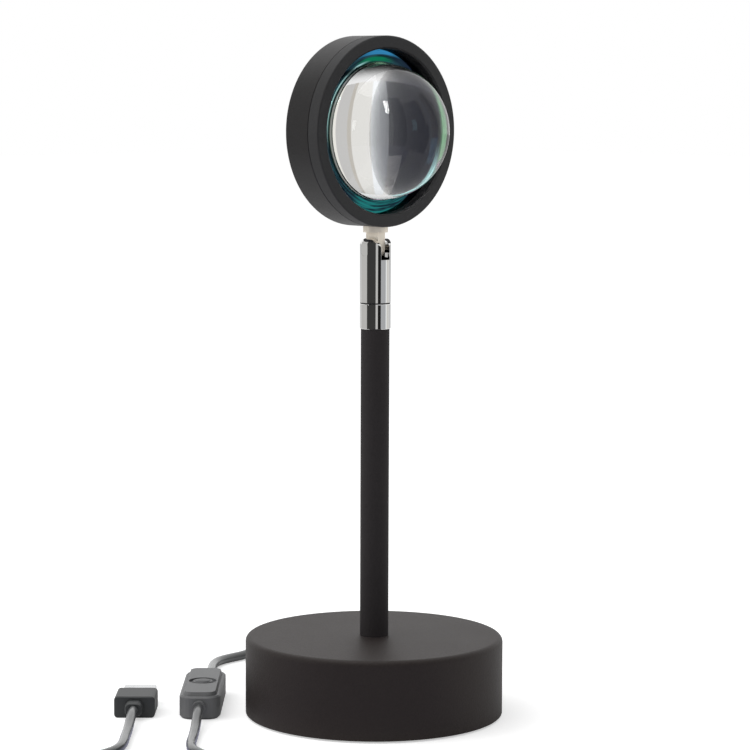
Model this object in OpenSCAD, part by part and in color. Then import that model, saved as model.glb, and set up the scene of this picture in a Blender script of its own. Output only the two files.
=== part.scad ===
// Sunset projection lamp: a weighted round base, a slim stem, a chrome swivel and a
// round lamp head with a half-ball lens over a coated filter disc, on a USB lead.
// Origin: centre of the base's underside. +Z up. The head looks along -Y and tilts about X.

/* [Base] */
// Diameter of the round base
base_d = 95; // [85:1:110]
// Height of the base, from the surface to its top
base_h = 29.5; // [26:0.5:36]
// Wall of the base shell
base_wall = 1.5; // [1:0.1:2]
// Rounding of the shell's top edge
base_edge_r = 2; // [0.6:0.1:3]
// Rounding of the shell's bottom edge
base_rim_r = 0.6; // [0.3:0.1:0.9]
// Height of the shell's rim above the surface
rim_lift = 0.6; // [0.3:0.1:0.9]
// Thickness of the foam foot pad
pad_t = 1; // [1:0.1:2]
// Width of the plate that the foot pad leaves bare
pad_inset = 1.7; // [0.5:0.1:4]
// Thickness of the bottom plate
plate_t = 1.5; // [1.2:0.1:2]
// Thickness of the cast weight
weight_t = 12; // [9:0.5:13]
// Space between the weight and the shell's wall
weight_gap = 5.5; // [5:0.5:10]
// Pitch circle of the three feet under the weight
foot_pcd = 60; // [50:1:64]
// Diameter of each foot under the weight
foot_d = 9; // [7:0.5:11]
// Thread diameter of the screws that hold the bottom plate
plate_screw_d = 3; // [2.5:0.1:3.5]
// Head diameter of the plate screws
plate_screw_head_d = 5.6; // [4.8:0.1:6.4]
// Length of thread that each plate screw has in its foot
plate_screw_l = 8; // [5:0.5:9]

/* [Stem] */
// Outer diameter of the stem tube
stem_d = 10.5; // [9.6:0.1:11]
// Wall of the stem tube
stem_wall = 1.1; // [0.8:0.1:1.2]
// Length of the stem tube above the base
stem_l = 113.7; // [80:0.1:200]
// Length of the threaded nipple inside the stem
nipple_in_l = 16; // [10:1:25]
// Wall of the threaded nipple
nipple_wall = 1.45; // [1.2:0.05:1.6]
// Outer diameter of the washer under the weight
washer_d = 18; // [15:0.5:24]
// Thickness of the washer under the weight
washer_t = 1.2; // [0.8:0.1:1.6]
// Width across the flats of the stem nut
nut_af = 13; // [12:0.5:15]
// Thickness of the stem nut
nut_t = 4; // [3:0.5:4.5]

/* [Swivel] */
// Diameter of the chrome collar and barrel
swivel_d = 11.3; // [11:0.1:12.5]
// Height of the collar
collar_h = 9.2; // [9:0.1:14]
// Height of the collar's bearing wall
bearing_h = 7.4; // [5:0.1:8]
// Length of the collar's spigot inside the stem
spigot_l = 8; // [5:0.5:14]
// Wall of the collar's spigot
spigot_wall = 0.5; // [0.4:0.05:0.6]
// Diameter of the hollow spindle
spindle_d = 5; // [4.6:0.1:5.4]
// Diameter of the wire hole through the spindle
spindle_bore_d = 2.8; // [2.6:0.1:3]
// Diameter of the spindle's head
spindle_head_d = 6.6; // [6.2:0.1:6.9]
// Thickness of the spindle's head
spindle_head_t = 2; // [1.5:0.1:3]
// Length of the spindle's thread in the barrel
spindle_thread_l = 7; // [5:0.5:9]
// Thickness of the spring washer on the spindle
spring_washer_t = 0.8; // [0.5:0.1:1.2]
// Height of the tilt pivot above the barrel's lower end
barrel_to_pivot = 19.5; // [16:0.1:26]
// Height of the ears above the tilt pivot
ear_above = 4.2; // [3.6:0.1:4.8]
// Radius that the ears' tops are rounded to
ear_round_r = 5.9; // [5.8:0.1:7]

/* [Tilt joint] */
// Thickness of the knuckle's tongue
tongue_t = 3.6; // [3:0.1:4.2]
// Width of the knuckle's tongue
tongue_w = 6.2; // [5.4:0.1:6.6]
// Diameter of the pivot screw
pivot_d = 3; // [2.5:0.1:3.4]
// Head diameter of the pivot screw
pivot_head_d = 4.6; // [4.2:0.1:5.2]
// Thickness of the pivot screw's head
pivot_head_t = 0.9; // [0.6:0.1:1.2]
// Distance from the pivot to the knuckle's flange
pivot_to_flange = 6.2; // [6.1:0.1:8]
// Diameter of the knuckle's flange
flange_d = 9.1; // [8:0.1:10]
// Thickness of the knuckle's flange
flange_t = 2.35; // [1.6:0.05:3]
// Diameter of the stud above the flange
stud_d = 5.9; // [5:0.1:6.5]
// Diameter of the wire hole in the stud
wire_hole_d = 2.2; // [2:0.1:2.4]
// Depth of the flat seat that the flange has in the head
seat_depth = 0.35; // [0.3:0.05:0.6]

/* [Head] */
// Outer diameter of the head
head_d = 69; // [66:0.5:76]
// Depth of the head from front face to back
head_depth = 17.1; // [15:0.1:24]
// Depth of the front ring
ring_depth = 5.3; // [5:0.1:5.8]
// Distance from the stem's axis to the front face
front_offset = 6.3; // [6:0.1:7]
// Width of the front ring's flat face
lip_w = 4.7; // [4.3:0.1:5.4]
// Thickness of the front ring's lip
lip_t = 2; // [1.5:0.1:2.4]
// Wall of the front ring's skirt
skirt_t = 2; // [1.8:0.1:2.2]
// Wall of the rear shell's spigot inside the skirt
shell_spigot_t = 1.4; // [1.2:0.1:1.5]
// Width of the ledge that the filter rests on
ledge_w = 1; // [0.8:0.1:2]
// Thickness of the head's back wall
back_t = 3; // [2.6:0.1:5]
// Rounding of the head's outer edges
head_edge_r = 0.6; // [0.3:0.1:1]
// Chamfer on both sides of the head's seam
seam_chamfer = 0.2; // [0.1:0.05:0.4]
// Chamfer round the front opening
opening_chamfer = 0.6; // [0.3:0.1:1]

/* [Lens and light] */
// Diameter of the half-ball lens
lens_d = 49; // [44:0.5:52]
// Thickness of the lens's rim
lens_rim_t = 1.2; // [0.8:0.1:2]
// Width of the lens's rim outside the ball
lens_rim_w = 0.4; // [0.2:0.1:1]
// Depth of the filter's front behind the front face
filter_depth = 4.3; // [3.9:0.1:4.5]
// Thickness of the filter disc
filter_t = 1.1; // [0.8:0.1:1.2]
// Diameter of the light's circuit board
board_d = 24; // [20:1:34]
// Thickness of the light's circuit board
board_t = 1.6; // [1:0.1:2]
// Width of the light chip
chip_w = 7; // [4:0.5:9]
// Thickness of the light chip
chip_t = 0.8; // [0.5:0.1:1.2]
// Distance between the board's two screws
board_screw_pitch = 18; // [16:0.5:19]
// Thread diameter of the board's screws
board_screw_d = 2; // [1.6:0.1:2.5]
// Head diameter of the board's screws
board_screw_head_d = 3.8; // [3:0.1:4.2]
// Head thickness of the board's screws
board_screw_head_t = 1.3; // [0.8:0.1:1.6]
// Length of thread that each board screw has in the back wall
board_screw_l = 1.8; // [1:0.1:2]

/* [Cord] */
// Diameter of the cord
cord_d = 3.6; // [3.4:0.1:3.6]
// Diameter of the inner wires, as one bundle
lead_d = 2; // [1.6:0.1:2]
// Diameter of the wires inside the head
head_lead_d = 1.6; // [1.2:0.1:1.7]
// Height of the cord's exit above the surface
exit_z = 8; // [7:0.5:9]
// Length of the strain relief outside the base
relief_l = 10; // [6:0.5:10]
// Largest diameter of the strain relief
relief_d = 8.4; // [7.6:0.1:9]
// Diameter of the strain relief at its tip
relief_tip_d = 5.2; // [4.6:0.1:6]
// Diameter of the hole that the strain relief sits in
relief_hole_d = 6; // [5:0.1:6.4]
// Radius of the coil's innermost turn
coil_in_r = 14; // [13:0.5:16]
// Step from one turn of the coil to the next
coil_pitch = 4.05; // [4.05:0.05:5]
// Step from the coil's lower layer to its upper one
coil_layer = 4.05; // [4.05:0.05:4.6]

/* [Switch on the cord] */
// Width of the switch at its middle
switch_w = 15.8; // [14:0.1:18]
// Length of the switch's housing
switch_l = 45; // [40:0.5:56]
// Height of the switch's housing
switch_h = 10; // [9.6:0.1:12]
// Height of the switch's lower shell
switch_split = 4.8; // [4.4:0.1:5.2]
// Wall of the switch's shells
switch_wall = 1.3; // [1:0.1:1.6]
// Radius of the switch's corners
switch_corner_r = 4.7; // [3.5:0.1:6]
// Swell of each long side of the switch
switch_bow = 0.6; // [0.2:0.1:1]
// Height of the raised panel on the switch
panel_h = 1.4; // [1:0.1:1.8]
// Inset of the raised panel from the switch's edge
panel_inset = 1.8; // [1.2:0.1:2.4]
// Diameter of the cord stubs on the switch
stub_d = 5; // [4.4:0.1:6]
// Length of the cord stubs on the switch
stub_l = 2; // [1:0.1:4]
// Diameter of the push button
button_d = 7.7; // [6.6:0.1:8]
// Play between the button and its hole, on the radius
button_play = 0.3; // [0.2:0.05:0.4]
// Height of the button above the panel
button_lift = 0.5; // [0.3:0.1:1.2]
// Travel of the push button
button_travel = 1.2; // [0.8:0.1:1.2]
// Diameter of the round moat about the button
moat_d = 10.4; // [9.4:0.1:11]
// Depth of the moat
moat_depth = 0.8; // [0.4:0.1:0.9]
// Distance of the button from the switch's middle, towards the plug
button_shift = 1.2; // [0:0.1:4]

/* [Plug] */
// Width of the plug's grip
grip_w = 15; // [14:0.1:17]
// Height of the plug's grip
grip_h = 8; // [7.4:0.1:9]
// Length of the plug's grip
grip_l = 15.3; // [12:0.1:20]
// Length of the plug's strain relief
neck_l = 4.8; // [3:0.1:8]
// Width of the plug's strain relief
neck_w = 6.5; // [5:0.1:8]
// Width of the plug's metal shell
usb_w = 12; // [11.8:0.1:12.2]
// Height of the plug's metal shell
usb_h = 4.5; // [4.4:0.1:4.6]
// Length of the plug's metal shell in front of the grip
usb_l = 12.2; // [11:0.1:12.5]
// Sheet thickness of the plug's metal shell
usb_sheet = 0.3; // [0.25:0.05:0.4]

/* [Hidden] */
$fn = 96;

// Clearances
part_gap = 0.3;      // between parts that move past each other
turn_play = 0.05;    // between a pin and its bore, on the radius
thread_fit = 0.05;   // between a thread and its hole, on the radius
slip_fit = 0.1;      // between parts pushed together, on the radius
bore_gap = 0.15;     // round the nipple where it passes the weight and shell
cut = 1;             // how far a cutting shape runs past a face

// Base
base_r = base_d / 2;
shell_in_r = base_r - base_wall;
shell_ceiling = base_h - base_wall;
plate_z = pad_t;
plate_top = plate_z + plate_t;
plate_r = shell_in_r - part_gap;
weight_r = shell_in_r - weight_gap;
weight_z = shell_ceiling - weight_t;
foot_angles = [30, 150, 270];
screw_head_h = (plate_screw_head_d - plate_screw_d) / 2;

// Stem
stem_top = base_h + stem_l;
stem_in_r = stem_d / 2 - stem_wall;
nipple_r = stem_in_r - thread_fit;
nipple_bore_r = nipple_r - nipple_wall;
washer_z = weight_z - washer_t;
nut_z = washer_z - nut_t;
nipple_z = nut_z - 0.5;

// Swivel
swivel_r = swivel_d / 2;
collar_top = stem_top + collar_h;
ledge_z = collar_top - bearing_h;
spigot_r = stem_in_r - thread_fit;
spindle_r = spindle_d / 2;
barrel_z = collar_top + part_gap;
pivot_z = barrel_z + barrel_to_pivot;
washer_top = ledge_z - part_gap;
spindle_head_top = washer_top - spring_washer_t;
spindle_top = barrel_z + spindle_thread_l;
slot_w = tongue_t + 2 * part_gap;
slot_z = pivot_z - tongue_w / 2 - 2 * part_gap;
ear_top = pivot_z + ear_above;
pivot_r = pivot_d / 2;
pivot_head_x = swivel_r - pivot_head_t - 0.3;

// Head: r is the distance from the head's own axis, h the distance in front of the stem's axis
head_r = head_d / 2;
flange_z = pivot_z + pivot_to_flange;
flange_top = flange_z + flange_t;
head_z = flange_top - seat_depth + head_r;
front_h = front_offset;
seam_h = front_h - ring_depth;
back_h = front_h - head_depth;
floor_h = back_h + back_t;
lip_h = front_h - lip_t;
opening_r = head_r - lip_w;
skirt_in_r = head_r - skirt_t;
shell_spigot_r = skirt_in_r - slip_fit;
filter_seat_r = shell_spigot_r - shell_spigot_t;
cavity_r = filter_seat_r - ledge_w;
filter_r = filter_seat_r - slip_fit;
filter_h = front_h - filter_depth;
ledge_h = filter_h - filter_t;
stud_top = head_z - filter_r - part_gap;
wire_y = wire_hole_d / 2 + slip_fit;
lens_r = lens_d / 2;
board_h = floor_h + board_t;
board_screws_x = [-board_screw_pitch / 2, board_screw_pitch / 2];

// Places on the surface, in a frame turned about Z: u to the right, v away
cord_turn = -44;
switch_u = -64;
switch_v = 10;
plug_u = -88;
plug_v = -14.5;
stub_z = switch_split;
plug_z = grip_h / 2;
usb_root = plug_v + neck_l + grip_l;

// Inside the switch, from the floor up
body_h = switch_h - panel_h;
foot_chamfer = 0.9;
top_chamfer = 0.6;
rib_h = 0.4;
rib_size = [8, 1];
rib_v = [-12, 12];
switch_board_t = 1;
board_z = switch_wall + rib_h;
key_z = board_z + switch_board_t;
key_w = 6;
button_r = button_d / 2;
button_flange_r = button_r + button_play + 0.7;
button_flange_t = 0.7;
button_ceiling = switch_h - moat_depth - switch_wall;
flange_low = button_ceiling - part_gap - button_flange_t;
key_top = flange_low - button_travel - part_gap;
plunger_r = 1.5;
plunger_z = key_z + button_travel + 0.4;
dome_r = button_r - 1;
dome_h = 0.5;

// Plug, along its own axis from the end of its strain relief
grip_z = neck_l;
grip_end = neck_l + grip_l;
neck_h = grip_h - 2.6;
shell_root = 4;
usb_tip = grip_end + usb_l;
window_x = [-3, 3];
window_size = [2.5, 2.2];
window_to_tip = 4.8;
insert_t = 1.9;
insert_play = 0.05;
insert_y = usb_h / 2 - usb_sheet - insert_play - insert_t / 2;
contact_size = [1, 0.2];
contact_x = [-3.5, -1, 1, 3.5];

// Cord
cord_r = cord_d / 2;
cord_sides = 8;
coil_sides = 6;
rings_per_turn = 24;
coil_turns = 7.625;
coil_uv = [-5, 98];
coil_start = 270;
rest_z = cord_r + 0.05;
relief_uv = turned([0, base_r + relief_l], -cord_turn);

// Route from the strain relief to the coil
lead_route = [
    [-43, 44, 7.9], [-46, 49, 7], [-47, 54.5, 5.6], [-46, 60, 4.1], [-43, 65, 2.9],
    [-38, 68.3, 2.2], [-32, 69.5, 1.9], [-24, 69.2, 1.85], [-16, 68.7, 1.85]
];
// Route from the coil to the switch
run_route = [
    [-32, 112.6, 5.7], [-37, 107.6, 5.1], [-42.5, 102.1, 4], [-48, 96.6, 2.8], [-53, 91.6, 2],
    [-57.8, 86.8, 1.85], [-61.2, 82.4, 1.85], [-63.3, 77.3, 1.85], [-64, 72, 1.85],
    [-64, 65, 1.85], [-64, 58, 1.9], [-64, 51, 2.6], [-64, 45, 3.8], [-64, 41, 4.6]
];
// Route from the switch to the plug
tail_route = [
    [-64, -21, 4.6], [-64, -25, 3.8], [-64, -31, 2.6], [-64, -38, 1.9], [-64, -47, 1.85],
    [-64, -56, 1.85], [-62.4, -65, 1.85], [-57, -73.8, 1.85], [-51.6, -82.6, 1.85],
    [-50, -91.5, 1.85], [-51.6, -100.4, 1.85], [-56.1, -108.2, 1.85], [-63, -114, 1.85],
    [-71.5, -117.1, 1.85], [-80.5, -117.1, 1.85], [-89, -114, 1.85], [-95.9, -108.2, 1.85],
    [-100.4, -100.4, 1.85], [-102, -91.5, 1.85], [-100.4, -82.6, 1.85], [-95, -73.8, 1.85],
    [-89.6, -65, 1.85], [-88, -56, 1.85], [-88, -47, 1.85], [-88, -38, 1.9],
    [-88, -31, 2.5], [-88, -25, 3.4], [-88, -21, 3.9]
];

// ---------- Functions ----------

function unit(v) = v / norm(v);
function turned(p, a) = [p[0] * cos(a) - p[1] * sin(a), p[0] * sin(a) + p[1] * cos(a)];
function smooth(x) = let (t = min(max(x, 0), 1)) t * t * (3 - 2 * t);

// Points of an arc about a centre, from angle a0 to angle a1
function arc(centre, r, a0, a1, n = 6) =
    [for (i = [0 : n]) centre + r * [cos(a0 + (a1 - a0) * i / n), sin(a0 + (a1 - a0) * i / n)]];

// Rectangle of width w and length l with round corners
function round_rect(w, l, r, n = 6) = concat(
    arc([w / 2 - r, l / 2 - r], r, 0, 90, n),
    arc([r - w / 2, l / 2 - r], r, 90, 180, n),
    arc([r - w / 2, r - l / 2], r, 180, 270, n),
    arc([w / 2 - r, r - l / 2], r, 270, 360, n)
);

// The same, with long sides that swell by bow at the middle
function bowed_rect(w, l, r, bow, n = 6) = [
    for (p = round_rect(w - 2 * bow, l, r, n)) let (s = 1 - pow(2 * p[1] / l, 2))
        [p[0] + sign(p[0]) * bow * max(s, 0), p[1]]
];

// Direction of a path at its point i
function heading(path, i) = unit(path[min(i + 1, len(path) - 1)] - path[max(i - 1, 0)]);

// Ring of points about a path's point i; ref is a direction that the path never takes
function ring(path, i, r, sides, ref) =
    let (t = heading(path, i), s = unit(cross(t, ref)), w = cross(s, t))
    [for (k = [0 : sides - 1]) let (a = 360 * (k + 0.5) / sides)
        path[i] + r * (cos(a) * s + sin(a) * w)];

// Place of the coiled cord's centreline after t turns
function coil_point(t) =
    let (
        a = coil_start + 360 * t,
        middle = coil_turns / 2,
        r = coil_in_r + coil_pitch * abs(t - middle),
        z = rest_z + coil_layer * smooth((t - middle + 0.25) / 0.5)
    )
    [coil_uv[0] + r * cos(a), coil_uv[1] + r * sin(a), z];

coil_head = coil_point(0) + cord_d * unit(coil_point(0) - coil_point(0.001));
coil_tail = coil_point(coil_turns)
    + cord_d * unit(coil_point(coil_turns) - coil_point(coil_turns - 0.001));
coil_steps = round(coil_turns * rings_per_turn);
coil_path = concat(
    [coil_head],
    [for (i = [0 : coil_steps]) coil_point(coil_turns * i / coil_steps)],
    [coil_tail]
);
relief_dir = turned([0, 1], -cord_turn);
lead_path = concat(
    [[relief_uv[0], relief_uv[1], exit_z],
     [relief_uv[0] + 2 * relief_dir[0], relief_uv[1] + 2 * relief_dir[1], exit_z]],
    lead_route,
    [coil_head + cord_d * unit(coil_head - coil_point(0)), coil_head]
);
switch_far_v = switch_v + switch_l / 2 + stub_l;
switch_near_v = switch_v - switch_l / 2 - stub_l;
run_path = concat(
    [coil_tail, coil_tail + cord_d * unit(coil_tail - coil_point(coil_turns))],
    run_route,
    [[switch_u, switch_far_v + cord_d, stub_z], [switch_u, switch_far_v, stub_z]]
);
tail_path = concat(
    [[switch_u, switch_near_v, stub_z], [switch_u, switch_near_v - cord_d, stub_z]],
    tail_route,
    [[plug_u, plug_v - cord_d, plug_z], [plug_u, plug_v, plug_z]]
);

// Wires inside the base and the stem, and inside the head
lead_low_z = plate_top + lead_d / 2 + 0.4;
stem_lead_path = [
    [0, shell_in_r - 2, exit_z], [0, shell_in_r - 5, exit_z], [0, 36, exit_z - 0.8],
    [0, 30, exit_z - 2],
    [0, 22, lead_low_z + 0.8], [0, 14, lead_low_z], [0, 6.5, lead_low_z],
    [0, 3.3, lead_low_z + 0.9], [0, 0.9, lead_low_z + 3.3], [0, 0, lead_low_z + 6.5],
    [0, 0, base_h], [0, 0, stem_top], [0, 0, spindle_top - 0.5]
];
cavity_low_z = head_z - cavity_r;
on_board_y = -board_h - head_lead_d / 2 - 0.1;
head_lead_path = [
    [0, wire_y, flange_z + 1], [0, wire_y, cavity_low_z + 1],
    [0, wire_y + 1, cavity_low_z + 5], [0, on_board_y - 0.9, head_z - board_d / 2 - 8],
    [0, on_board_y, head_z - board_d / 2 - 3], [0, on_board_y, head_z - board_d / 2 + 3]
];

// Least gap between one part of the coil and another, measured on its points
coil_gap = min([
    for (i = [1 : coil_steps + 1]) for (j = [i + rings_per_turn / 2 : coil_steps + 1])
        norm(coil_path[i] - coil_path[j])
]) - cord_d;
function path_length(path) = len(path) < 2 ? 0
    : [for (i = 1, s = norm(path[1] - path[0]); i < len(path);
            i = i + 1, s = s + (i < len(path) ? norm(path[i] - path[i - 1]) : 0)) s][len(path) - 2];
echo(coil_gap = coil_gap);
echo(coil_l = path_length(coil_path), lead_l = path_length(lead_path));
echo(run_l = path_length(run_path), tail_l = path_length(tail_path));

// ---------- Shared shapes ----------

// Tube of radius r swept along a path, with flat ends
module tube(path, r, sides, ref = [0, 0, 1]) {
    last = len(path) - 1;
    points = [for (i = [0 : last]) each ring(path, i, r, sides, ref)];
    walls = [for (i = [0 : last - 1]) for (k = [0 : sides - 1])
        let (a = i * sides + k, b = i * sides + (k + 1) % sides)
        each [[a, b, a + sides], [b, b + sides, a + sides]]];
    caps = [for (k = [1 : sides - 2]) each [
        [0, k + 1, k], [last * sides, last * sides + k, last * sides + k + 1]]];
    polyhedron(points, concat(walls, caps));
}

// Screw with its head's top at z = 0 and its thread downwards
module pan_screw(thread_d, head_d, head_t, thread_l) {
    difference() {
        union() {
            translate([0, 0, -head_t]) cylinder(d = head_d, h = head_t);
            translate([0, 0, -head_t - thread_l]) cylinder(d = thread_d, h = thread_l + 0.01);
        }
        cross_recess(head_d, head_t);
    }
}

module cross_recess(head_d, head_t) {
    for (a = [0, 90]) rotate(a)
        translate([-head_d * 0.3, -head_d * 0.08, -head_t * 0.6])
            cube([head_d * 0.6, head_d * 0.16, head_t]);
}

// Children drawn with Z along the head's axis, which looks along -Y
module on_head() translate([0, 0, head_z]) rotate([90, 0, 0]) children();

// Children drawn with X along the tilt pivot
module on_pivot() translate([0, 0, pivot_z]) rotate([0, 90, 0]) children();

module on_surface(u, v) rotate(cord_turn) translate([u, v, 0]) children();

// Places of the three feet under the weight
module at_feet() for (a = foot_angles) rotate(a) translate([foot_pcd / 2, 0, 0]) children();

// ---------- Base ----------

module base_shell() color([0.09, 0.085, 0.085]) {
    profile = concat(
        [[nipple_r + bore_gap, base_h]],
        arc([base_r - base_edge_r, base_h - base_edge_r], base_edge_r, 90, 0),
        arc([base_r - base_rim_r, rim_lift + base_rim_r], base_rim_r, 0, -90, 3),
        [[shell_in_r, rim_lift], [shell_in_r, shell_ceiling], [nipple_r + bore_gap, shell_ceiling]]
    );
    difference() {
        rotate_extrude() polygon(profile);
        translate([0, shell_in_r - cut, exit_z]) rotate([-90, 0, 0])
            cylinder(d = relief_hole_d, h = base_wall + 2 * cut);
    }
}

module base_weight() color([0.25, 0.25, 0.26]) difference() {
    union() {
        translate([0, 0, weight_z]) cylinder(r = weight_r, h = weight_t);
        at_feet() translate([0, 0, plate_top]) cylinder(d = foot_d, h = weight_z - plate_top + 0.5);
    }
    translate([0, 0, weight_z - cut]) cylinder(r = nipple_r + bore_gap, h = weight_t + 2 * cut);
    at_feet() translate([0, 0, plate_top - cut])
        cylinder(r = plate_screw_d / 2 + thread_fit, h = plate_screw_l + 0.5 + cut);
}

module base_plate() color([0.2, 0.2, 0.21]) difference() {
    translate([0, 0, plate_z]) cylinder(r = plate_r, h = plate_t);
    at_feet() {
        translate([0, 0, plate_z - cut])
            cylinder(r = plate_screw_d / 2 + slip_fit, h = plate_t + 2 * cut);
        translate([0, 0, plate_z - 0.01])
            cylinder(r1 = plate_screw_head_d / 2 + slip_fit,
                     r2 = plate_screw_d / 2 + slip_fit, h = screw_head_h + 0.01);
    }
}

module base_screws() color([0.75, 0.75, 0.77]) at_feet() difference() {
    translate([0, 0, plate_z]) rotate_extrude() polygon([
        [0, 0], [plate_screw_head_d / 2, 0], [plate_screw_d / 2, screw_head_h],
        [plate_screw_d / 2, plate_t + plate_screw_l], [0, plate_t + plate_screw_l]
    ]);
    translate([0, 0, plate_z]) mirror([0, 0, 1]) cross_recess(plate_screw_head_d, 1.2);
}

module foot_pad() color([0.06, 0.06, 0.06])
    cylinder(r = plate_r - pad_inset, h = pad_t);

// ---------- Stem ----------

module stem_tube() color([0.07, 0.07, 0.07]) difference() {
    translate([0, 0, base_h]) cylinder(d = stem_d, h = stem_l);
    translate([0, 0, base_h - cut]) cylinder(r = stem_in_r, h = stem_l + 2 * cut);
}

module stem_nipple() color([0.75, 0.7, 0.5]) difference() {
    translate([0, 0, nipple_z]) cylinder(r = nipple_r, h = base_h + nipple_in_l - nipple_z);
    translate([0, 0, nipple_z - cut])
        cylinder(r = nipple_bore_r, h = base_h + nipple_in_l - nipple_z + 2 * cut);
}

module stem_washer() color([0.7, 0.7, 0.72]) difference() {
    translate([0, 0, washer_z]) cylinder(d = washer_d, h = washer_t);
    translate([0, 0, washer_z - cut]) cylinder(r = nipple_r + bore_gap, h = washer_t + 2 * cut);
}

module stem_nut() color([0.7, 0.7, 0.72]) difference() {
    translate([0, 0, nut_z]) cylinder(d = nut_af / cos(30), h = nut_t, $fn = 6);
    translate([0, 0, nut_z - cut]) cylinder(r = nipple_r + thread_fit, h = nut_t + 2 * cut);
}

module stem_lead() color([0.15, 0.15, 0.15]) tube(stem_lead_path, lead_d / 2, cord_sides, [1, 0, 0]);

// ---------- Swivel ----------

module swivel_collar() color([0.82, 0.82, 0.83]) rotate_extrude() polygon([
    [spigot_r - spigot_wall, stem_top - spigot_l], [spigot_r, stem_top - spigot_l],
    [spigot_r, stem_top], [swivel_r - 0.2, stem_top], [swivel_r, stem_top + 0.2],
    [swivel_r, collar_top - 0.2], [swivel_r - 0.2, collar_top],
    [spindle_r + turn_play, collar_top], [spindle_r + turn_play, ledge_z],
    [spigot_r - spigot_wall, ledge_z]
]);

module swivel_spindle() color([0.7, 0.66, 0.5]) rotate_extrude() polygon([
    [spindle_bore_d / 2, spindle_head_top - spindle_head_t],
    [spindle_head_d / 2, spindle_head_top - spindle_head_t],
    [spindle_head_d / 2, spindle_head_top], [spindle_r, spindle_head_top],
    [spindle_r, spindle_top], [spindle_bore_d / 2, spindle_top]
]);

module spring_washer() color([0.6, 0.6, 0.62]) difference() {
    translate([0, 0, spindle_head_top]) cylinder(d = spindle_head_d, h = spring_washer_t);
    translate([0, 0, spindle_head_top - cut])
        cylinder(r = spindle_r + turn_play, h = spring_washer_t + 2 * cut);
}

// Side view of the barrel: straight, with a round top over the pivot
module barrel_side() {
    shoulder = ear_top - ear_round_r;
    rise = sqrt(pow(ear_round_r, 2) - pow(swivel_r, 2));
    lean = atan2(rise, swivel_r);
    polygon(concat(
        [[-swivel_r - cut, barrel_z - cut], [swivel_r + cut, barrel_z - cut],
         [swivel_r + cut, shoulder + rise]],
        arc([0, shoulder], ear_round_r, lean, 180 - lean, 16),
        [[-swivel_r - cut, shoulder + rise]]
    ));
}

module swivel_barrel() color([0.84, 0.84, 0.85]) difference() {
    intersection() {
        rotate_extrude() polygon([
            [0, barrel_z], [swivel_r - 0.2, barrel_z], [swivel_r, barrel_z + 0.2],
            [swivel_r, ear_top + cut], [0, ear_top + cut]
        ]);
        rotate([90, 0, 90]) linear_extrude(2 * (swivel_r + cut), center = true) barrel_side();
    }
    translate([-slot_w / 2, -swivel_r - cut, slot_z])
        cube([slot_w, 2 * (swivel_r + cut), ear_top - slot_z + cut]);
    translate([0, 0, barrel_z - cut])
        cylinder(r = spindle_r + thread_fit, h = spindle_thread_l + 0.5 + cut);
    translate([0, 0, spindle_top]) cylinder(d = spindle_bore_d, h = slot_z - spindle_top + cut);
    on_pivot() cylinder(r = pivot_r + turn_play, h = 3 * swivel_r, center = true);
    on_pivot() translate([0, 0, -pivot_head_x - swivel_r])
        cylinder(r = pivot_head_d / 2 + slip_fit, h = swivel_r);
}

module pivot_screw() color([0.8, 0.8, 0.8]) on_pivot() rotate([180, 0, 0]) difference() {
    union() {
        translate([0, 0, pivot_head_x]) cylinder(d = pivot_head_d, h = pivot_head_t);
        translate([0, 0, -swivel_r + 0.6]) cylinder(r = pivot_r, h = swivel_r - 0.6 + pivot_head_x + 0.01);
    }
    translate([-pivot_head_d, -0.4, pivot_head_x + pivot_head_t / 2])
        cube([2 * pivot_head_d, 0.8, pivot_head_t]);
}

// ---------- Head ----------

module knuckle() color([0.78, 0.74, 0.66]) difference() {
    union() {
        rotate([90, 0, 90]) linear_extrude(tongue_t, center = true) polygon(concat(
            arc([0, pivot_z], tongue_w / 2, 180, 360, 16),
            [[tongue_w / 2, flange_z + 0.5], [-tongue_w / 2, flange_z + 0.5]]
        ));
        translate([0, 0, flange_z]) cylinder(d = flange_d, h = flange_t);
        translate([0, 0, flange_z]) cylinder(d = stud_d, h = stud_top - flange_z);
    }
    on_pivot() cylinder(r = pivot_r + turn_play, h = tongue_t + 2 * cut, center = true);
    translate([0, wire_y, flange_z - cut]) cylinder(d = wire_hole_d, h = stud_top - flange_z + 2 * cut);
    translate([-wire_hole_d / 2, wire_y - wire_hole_d / 2, flange_z - pivot_to_flange / 2 + 0.3])
        cube([wire_hole_d, tongue_w, pivot_to_flange / 2 - 0.3]);
}

// Room for the knuckle's flange and stud in the head's two shells
module knuckle_seat() {
    translate([0, 0, flange_top - 2]) cylinder(r = flange_d / 2 + slip_fit, h = 2);
    cylinder(r = stud_d / 2 + thread_fit, h = stud_top + slip_fit);
}

module rear_shell() color([0.1, 0.095, 0.1]) difference() {
    on_head() rotate_extrude($fn = 160) polygon(concat(
        [[0, back_h]],
        arc([head_r - head_edge_r, back_h + head_edge_r], head_edge_r, -90, 0),
        [[head_r, seam_h - seam_chamfer], [head_r - seam_chamfer, seam_h],
         [shell_spigot_r, seam_h], [shell_spigot_r, lip_h - 0.2], [filter_seat_r, lip_h - 0.2],
         [filter_seat_r, ledge_h], [cavity_r, ledge_h], [cavity_r, floor_h], [0, floor_h]]
    ));
    knuckle_seat();
    translate([0, wire_y, flange_z]) cylinder(d = wire_hole_d, h = head_z - cavity_r - flange_z + cut);
    on_head() for (x = board_screws_x) translate([x, 0, floor_h - board_screw_l - 0.3])
        cylinder(r = board_screw_d / 2 + thread_fit, h = board_screw_l + cut);
}

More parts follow.
